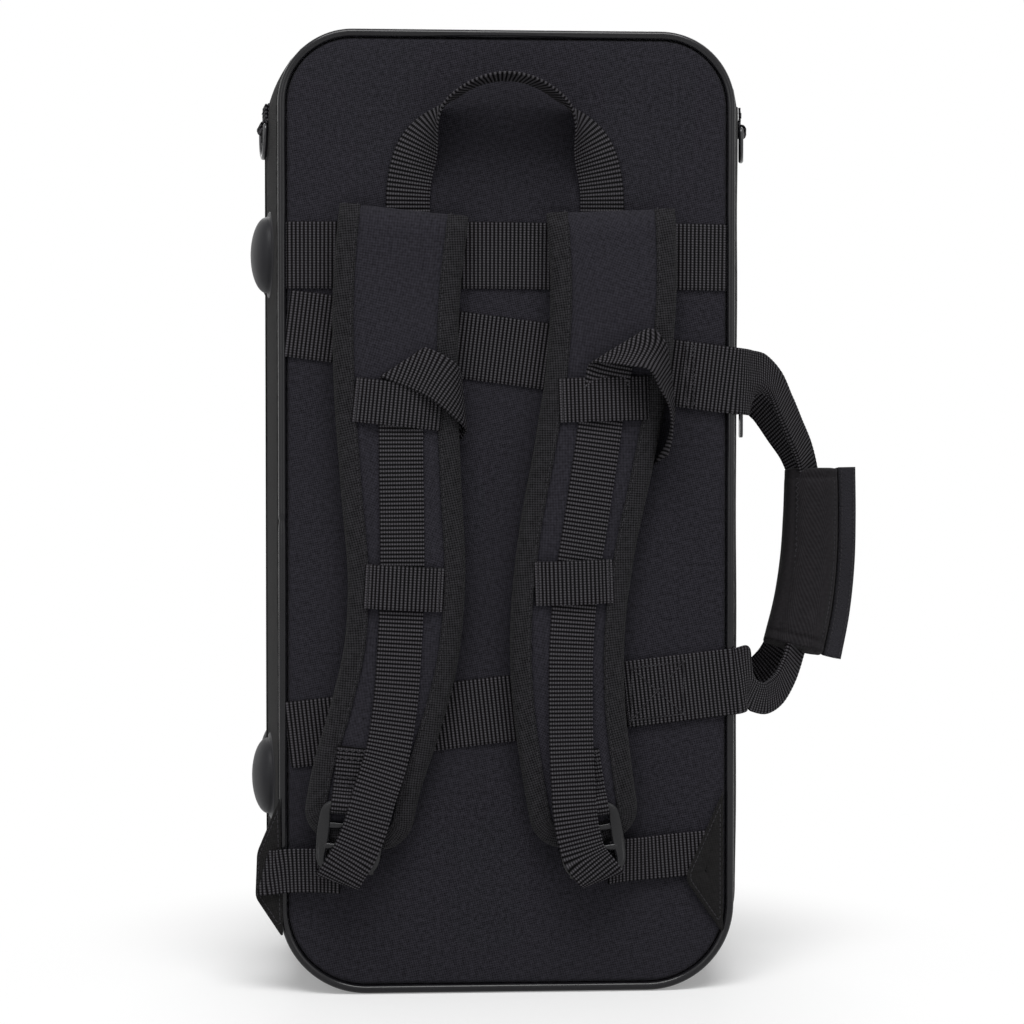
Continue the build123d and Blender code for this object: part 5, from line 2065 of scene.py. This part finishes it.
# --- anchors, feet, rings, sliders
@dataclass
class Fittings(Workshop):
    """Strap anchors, feet, ring tabs and carried metal parts."""

    web: float = 0.025
    thick: float = 0.0014
    foot_heights: tuple[float, float] = (0.120, 0.427)
    foot_radius: float = 0.0223
    foot_high: float = 0.0118
    ring_depth: float = 0.030
    ring_height: float = 0.503
    ring_web: float = 0.0196
    ring_stand: float = 0.0032
    ring_bend: float = 0.00255

    def build(self) -> None:
        """Builds every fitting."""
        self.right_anchor()
        self.left_anchor()
        for half in Half:
            self.feet(half)
        for side in Side:
            self.ring_tab(side)
        self.carried()

    def web_piece(self, name: str, rows: Rows, body: str, start: Sequence[float],
                  end: Sequence[float], node: str) -> None:
        """A web from a corner tab to a buckle.

        Args:
            name: Name of the piece.
            rows: Side, height, lift and across direction of its line, in millimetres.
            body: The strap's body; not used.
            start: Where it leaves the case.
            end: Where it follows the strap.
            node: Node that it stands for.
        """
        face = self.form.face(Half.BACK)
        knots = []
        for x, z, lift, wide, high, out in rows:
            knots.append((x * MM, -(face + lift * MM), z * MM, wide, -out, high))
        line = smooth_line(knots, RIB_STEP)
        size = (self.web, self.thick)
        piece = self.webbing(name, line[:, :3], line[:, 3:], size, skewed=True)
        join_bodies(piece, "case_back", start, end, [node])

    def tab(self, name: str, corners: Rows, node: str) -> None:
        """Folded cloth tab over the end of a web, edge-stitched.

        Args:
            name: Name of the piece.
            corners: Its corners in order round it.
            node: Node that it stands for.
        """
        spots = np.array(corners, float)
        centre = spots.mean(0)
        edge = rounded_run(np.concatenate([spots, spots[:1]]), 0.003, 0.0015)[:-1]
        normal = np.cross(spots[1] - spots[0], spots[2] - spots[0])
        normal = unit(normal if normal[1] < 0 else -normal)
        rows = []
        for share, lift in ((1.0, -0.0006), (1.004, 0.0), (0.985, 0.0007), (0.86, 0.0007),
                            (0.82, 0.0004),
                            (0.74, 0.0009), (0.4, 0.0012), (0.05, 0.0013)):
            rows.append(centre + (edge - centre) * share + normal * lift)
        rows += [centre + (edge - centre) * 0.05 - normal * 0.0006,
                 centre + (edge - centre) * 0.9 - normal * 0.0007]
        stack = np.stack(rows)
        kit = MeshKit()
        kit.grid(stack, stack[..., [0, 2]], wrap_rows=True)
        settle(kit.make(name, self.dress["side"]), "case_back", [node])
        thread = MeshKit()
        row = centre + (edge - centre) * 0.82 + normal * 0.0006
        stitches(thread, row, normal, pitch=0.0028)
        self.sew(thread, name, "case_back", "side_cloth")

    def right_anchor(self) -> None:
        """Right tab, sewn along the seam, and its web."""
        face = self.form.face(Half.BACK)
        self.web_piece("right_anchor_webbing",
                       ((57, 76.5, 12.0, 0, 1, 0.1), (66, 77, 7.5, 0, 1, 0.1),
                        (78, 77.5, 4.4, 0, 1, 0.1),
                        (92, 78.5, 2.8, 0.02, 1, 0), (105, 79.5, 1.6, 0.03, 1, 0),
                        (118, 80.5, 1.0, 0.04, 1, 0)),
                       "right_strap", (0.110, -face, 0.08), (0.078, -face, 0.077),
                       "right_anchor_web")
        lift = -(face + 0.0034)
        self.tab("right_corner_tab", [(0.1245, -face, 0.115), (0.1245, -face, 0.033),
                                      (0.1030, lift, 0.0640),
                                      (0.1035, lift, 0.0690)], "right_anchor_tab")

    def left_anchor(self) -> None:
        """Left tab, turned out over the piping, and its web folded back over it."""
        face = self.form.face(Half.BACK)
        self.web_piece("left_anchor_webbing",
                       ((-96, 72.5, 11.5, 0, 1, 0.1), (-105, 72.8, 8.5, 0, 1, 0.05),
                        (-116, 72.6, 5.6, 0.02, 1, 0),
                        (-127, 72, 4.0, 0.10, 1, 0), (-135, 71, 3.0, 0.22, 1, 0),
                        (-139.8, 70.3, 0.9, 0.26, 1, -0.1),
                        (-138.6, 69.3, -2.0, 0.28, 1, -0.1), (-133.5, 68.5, -3.6, 0.28, 1, -0.1)),
                       "left_strap", (-0.130, -face, 0.067), (-0.104, -face, 0.069),
                       "left_anchor_web")
        self.tab("left_corner_tab", [(-0.1305, -face - 0.0004, 0.113),
                                     (-0.1288, -face - 0.0010, 0.033),
                                     (-0.1446, -face + 0.0022, 0.056),
                                     (-0.1436, -face + 0.0020, 0.082)], "left_anchor_tab")

    def wall(self, side: int, half: Half, depth: float, height: float) -> tuple[Points, Points]:
        """Point on a side wall and the direction out of it.

        Args:
            side: Right wall 1, left wall -1.
            half: The half of the case.
            depth: Depth from the panel.
            height: Height on the wall.

        Returns:
            The point and the direction out.
        """
        form = self.form
        reach = form.depth_of(half)
        face = form.panel_width / 2 + form.side_flare * (1 - depth / reach)
        slope = atan2(form.side_flare, reach)
        point = np.array([side * face, half.value * depth, height])
        return point, np.array([side * cos(slope), half.value * sin(slope), 0.0])

    def feet(self, half: Half) -> None:
        """Satin domes with thin flanges on the left wall.

        Args:
            half: The half of the case.
        """
        profile = [(0.0001, -0.0002), (0.0248, -0.0002), (0.0255, 0.0003), (0.0255, 0.0009),
                   (0.0250, 0.0014),
                   (0.0232, 0.0015), (0.0229, 0.0013), (0.0226, 0.0015), (0.0223, 0.0024)]
        radius, high = self.foot_radius, self.foot_high
        for turn in np.linspace(0.06, pi / 2, 18):
            profile.append((radius * cos(turn) + 0.00001, 0.0024 + (high - 0.0024) * sin(turn)))
        kit = MeshKit()
        depth = self.form.depth_of(half) / 2
        for height in self.foot_heights:
            centre, out = self.wall(-1, half, depth, height)
            turned(kit, centre, out, profile)
        piece = kit.make(f"{half.prefix}_foot_domes", self.dress["foot"])
        settle(piece, half.body, [f"{half.prefix}_feet"])

    def ring_tab(self, side: Side) -> None:
        """Web folded round the bar of a ring and sewn to the wall.

        Args:
            side: The side of the case.
        """
        point, out = self.wall(side.value, Half.BACK, self.ring_depth, self.ring_height)
        up, stand, radius = UP, self.ring_stand, self.ring_bend
        across = np.cross(out, up)
        knots = [point + out * 0.0007 + up * 0.0135, point + out * 0.0008 + up * 0.006,
                 point + out * (stand - radius * 0.98) + up * 0.0018]
        for turn in np.linspace(0.25, 2 * pi - 1.0, 12):
            knots.append(point + out * (stand - radius * cos(turn)) - up * (radius * sin(turn)))
        knots += [point + out * 0.0024 + up * 0.0062, point + out * 0.0023 + up * 0.0130]
        line = smooth_line(np.array(knots), RIB_STEP)
        name = side.prefix
        size = (self.ring_web, 0.0013)
        piece = self.webbing(f"{name}_ring_loop", line, across, size, relief=0.00015)
        settle(piece, "case_back", [f"{name}_ring_tab"])
        thread = MeshKit()
        row = point + out * stand + up * 0.0098 + across * np.linspace(-0.008, 0.008, 10)[:, None]
        stitches(thread, row, out, pitch=0.002)
        self.sew(thread, f"{name}_ring", "case_back", "webbing")

    def carried(self) -> None:
        """Finishes for the solids whose shape is already right."""
        lacquered = ("left_d_ring", "right_d_ring", "upper_slider", "lower_slider", "upper_pull",
                     "lower_pull")
        for finish, names in (("foam", ("back_shell", "lid_shell")), ("lacquer", lacquered)):
            for name in names:
                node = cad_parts[name]
                node.data.materials.clear()
                node.data.materials.append(self.dress[finish])
                LOG.info("%s: finished", name)


# --- nest
@dataclass
class Nest:
    """Plush-covered blocks that hold the trumpet, and the pad in the lid."""

    dress: Wardrobe
    voxel: float = 0.0028
    pad_voxel: float = 0.005
    pile: float = 0.0003

    def build(self) -> None:
        """Builds every block."""
        for name in ("bell_cradle", "valve_cradle", "bow_cradle", "accessory_tray",
                     "mouthpiece_block"):
            self.block(name, "case_back")
        self.cushion("lid_pad", "lid")

    def soft_copy(self, node: str, name: str, voxel: float) -> Piece:
        """A copy of a block, closed and evened for softening.

        Args:
            node: Name of the node it covers.
            name: Name of the copy.
            voxel: Size of the remeshed grain.

        Returns:
            The piece.
        """
        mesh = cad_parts[node].data.copy()
        piece = bpy.data.objects.new(name, mesh)
        bpy.context.scene.collection.objects.link(piece)
        mesh.materials.clear()
        mesh.materials.append(self.dress["plush"])
        remesh = piece.modifiers.new("even", "REMESH")
        remesh.mode = "VOXEL"
        remesh.voxel_size = voxel
        remesh.use_smooth_shade = True
        soften = piece.modifiers.new("soften", "SMOOTH")
        soften.factor = 0.5
        soften.iterations = 4
        apply_modifiers(piece)
        return piece

    def block(self, node: str, body: str) -> None:
        """One block with softened edges and a slightly uneven pile.

        Args:
            node: Name of the node it covers.
            body: Body it is on.
        """
        piece = self.soft_copy(node, f"{node}_plush", self.voxel)
        spots = vertex_rows(piece, "co")
        swell = self.pile * ripple(spots[:, 0] + spots[:, 1], spots[:, 2], 0.03, 61) - self.pile
        move_vertices(piece, spots + vertex_rows(piece, "normal") * swell[:, None])
        settle(piece, body, [node])

    def cushion(self, node: str, body: str) -> None:
        """The lid's pad, filled out by a cloth simulation.

        Args:
            node: Name of the node it covers.
            body: Body it is on.
        """
        piece = self.soft_copy(node, f"{node}_cushion", self.pad_voxel)
        inflate(piece, pressure=3.0, cap=0.0025, frames=12)
        smoothed(piece, 1)
        settle(piece, body, [node])


def vertex_rows(piece: Piece, kind: str) -> Points:
    """Places ("co") or normals ("normal") of a piece's vertices.

    Args:
        piece: The piece.
        kind: Attribute that is read.

    Returns:
        One row for each point.
    """
    rows = np.empty(len(piece.data.vertices) * 3)
    piece.data.vertices.foreach_get(kind, rows)
    return rows.reshape(-1, 3)


def move_vertices(piece: Piece, rows: Points) -> None:
    """Puts a piece's vertices in new places."""
    piece.data.vertices.foreach_set("co", rows.ravel())
    piece.data.update()


def inflate(piece: Piece, pressure: float, cap: float, frames: int) -> None:
    """Fills a closed form out with Blender's cloth, and limits how far a point moves.

    Args:
        piece: The closed form.
        pressure: Pressure inside it.
        cap: Furthest that a point may move.
        frames: Frames to run.
    """
    before = vertex_rows(piece, "co")
    cloth = piece.modifiers.new("cloth", "CLOTH")
    settings = cloth.settings
    settings.use_pressure = True
    settings.uniform_pressure_force = pressure
    settings.effector_weights.gravity = 0
    settings.quality = 5
    settings.mass = 0.3
    cloth.point_cache.frame_end = frames
    for number in range(1, frames + 1):
        bpy.context.scene.frame_set(number)
    apply_modifiers(piece)
    move = vertex_rows(piece, "co") - before
    size = np.linalg.norm(move, axis=1, keepdims=True)
    move *= np.minimum(1, cap / np.maximum(size, 1e-9))
    move_vertices(piece, before + move)
    bpy.context.scene.frame_set(1)


# --- stage
@dataclass
class Studio:
    """White floor and backdrop, soft lamps and the camera."""

    azimuth: float = -2.8
    elevation: float = 1.3
    distance: float = 1.25
    focal: float = 2104.0
    aim: tuple[float, float, float] = (0.0046, 0.005, 0.2757)
    image: int = 1024
    sensor: float = 36.0

    def build(self) -> None:
        """Builds the stage."""
        self.world()
        self.floor()
        self.lamps()
        self.camera()

    def world(self) -> None:
        """Even soft surroundings, plain white to the camera."""
        world = bpy.data.worlds.new("studio_air")
        bpy.context.scene.world = world
        world.use_nodes = True
        tree = world.node_tree
        light = tree.nodes["Background"]
        light.inputs[0].default_value = (1, 1, 1, 1)
        light.inputs[1].default_value = 0.35
        plain = tree.nodes.new("ShaderNodeBackground")
        plain.inputs[0].default_value = (1, 1, 1, 1)
        plain.inputs[1].default_value = 1.0
        path = tree.nodes.new("ShaderNodeLightPath")
        blend = tree.nodes.new("ShaderNodeMixShader")
        seen = maths(tree, "MAXIMUM", path.outputs["Is Camera Ray"], path.outputs["Is Glossy Ray"])
        feed(tree, maths(tree, "MAXIMUM", seen, path.outputs["Is Transmission Ray"]),
             blend.inputs[0])
        feed(tree, light.outputs[0], blend.inputs[1])
        feed(tree, plain.outputs[0], blend.inputs[2])
        feed(tree, blend.outputs[0], tree.nodes["World Output"].inputs[0])

    def floor(self) -> None:
        """Plain pale floor."""
        kit = MeshKit()
        turn = ring_turns(64)
        ring = np.column_stack([np.cos(turn), np.sin(turn), np.zeros(64)])
        rows = np.stack([ring * radius for radius in (0.05, 0.5, 1.2, 3.0)]) - np.array([0, 0,
                                                                                         0.0004])
        kit.grid(rows, rows[..., :2], caps=False)
        kit.faces.append(np.arange(64))
        kit.make("studio_floor", self.floor_finish())

    def floor_finish(self) -> Material:
        """White floor that keeps the soft shadow under the case.

        Returns:
            The material: matt near the case, plain white further off to the camera.
        """
        material = bpy.data.materials.new("pale_floor")
        material.use_nodes = True
        tree = material.node_tree
        matt = tree.nodes["Principled BSDF"]
        matt.inputs["Base Color"].default_value = (0.93, 0.93, 0.93, 1)
        matt.inputs["Roughness"].default_value = 0.9
        matt.inputs["Specular IOR Level"].default_value = 0.1
        white = tree.nodes.new("ShaderNodeEmission")
        white.inputs["Color"].default_value = (1, 1, 1, 1)
        place = tree.nodes.new("ShaderNodeTexCoord")
        spread = tree.nodes.new("ShaderNodeVectorMath")
        spread.operation = "LENGTH"
        feed(tree, place.outputs["Object"], spread.inputs[0])
        far = tree.nodes.new("ShaderNodeMapRange")
        far.interpolation_type = "SMOOTHSTEP"
        for key, value in (("From Min", 0.16), ("From Max", 0.34), ("To Min", 0.25),
                           ("To Max", 1.0)):
            far.inputs[key].default_value = value
        feed(tree, spread.outputs["Value"], far.inputs["Value"])
        path = tree.nodes.new("ShaderNodeLightPath")
        share = times(tree, far.outputs["Result"], path.outputs["Is Camera Ray"])
        blend = tree.nodes.new("ShaderNodeMixShader")
        feed(tree, share, blend.inputs[0])
        feed(tree, matt.outputs[0], blend.inputs[1])
        feed(tree, white.outputs[0], blend.inputs[2])
        feed(tree, blend.outputs[0], tree.nodes["Material Output"].inputs[0])
        return material

    def lamp(self, name: str, place: Sequence[float], aim: Sequence[float],
             size: tuple[float, float],
             power: float) -> None:
        """A soft rectangular lamp.

        Args:
            name: Its name.
            place: Where it stands.
            aim: Where it points.
            size: Width and height.
            power: Its watts.
        """
        data = bpy.data.lights.new(name, "AREA")
        data.shape = "RECTANGLE"
        data.size, data.size_y = size
        data.energy = power
        lamp = bpy.data.objects.new(name, data)
        lamp.location = place
        lamp.rotation_euler = (Vector(aim) - Vector(place)).to_track_quat("-Z", "Y").to_euler()
        bpy.context.scene.collection.objects.link(lamp)

    def lamps(self) -> None:
        """A broad lamp above and fills at both sides."""
        self.lamp("top_box", (0.0, -1.1, 2.1), (0, 0, 0.3), (1.6, 0.9), 40)
        self.lamp("left_fill", (-1.5, -2.2, 1.0), (0, 0, 0.28), (1.0, 1.6), 8)
        self.lamp("right_fill", (1.7, -2.2, 0.9), (0, 0, 0.28), (1.0, 1.6), 7)
        self.lamp("back_rim", (0.0, 1.8, 1.6), (0, 0, 0.28), (1.6, 1.0), 14)

    def camera(self) -> None:
        """Camera in front of the back panel, a little to its left and above its middle."""
        data = bpy.data.cameras.new("camera")
        data.sensor_width = self.sensor
        data.lens = self.focal / self.image * self.sensor
        data.clip_end = 20
        turn, rise = radians(self.azimuth), radians(self.elevation)
        way = Vector((sin(turn) * cos(rise), -cos(turn) * cos(rise), sin(rise)))
        camera = bpy.data.objects.new("camera", data)
        camera.location = Vector(self.aim) + way * self.distance
        camera.rotation_euler = (-way).to_track_quat("-Z", "Y").to_euler()
        bpy.context.scene.collection.objects.link(camera)
        bpy.context.scene.camera = camera


def main() -> None:
    """Builds the case and its stage."""
    logging.basicConfig(level=logging.INFO, format="%(name)s %(message)s")
    bpy.context.scene.view_settings.view_transform = "Standard"
    dress = Wardrobe(Palette())
    form = CaseForm()
    Studio().build()
    CaseBody(form, dress).build()
    SewnWebbing(form, dress).build()
    for spec in (LEFT_STRAP, RIGHT_STRAP):
        ShoulderStrap(form, dress, spec).build()
    Fittings(form, dress).build()
    Nest(dress).build()


if __name__ == "__main__":
    main()
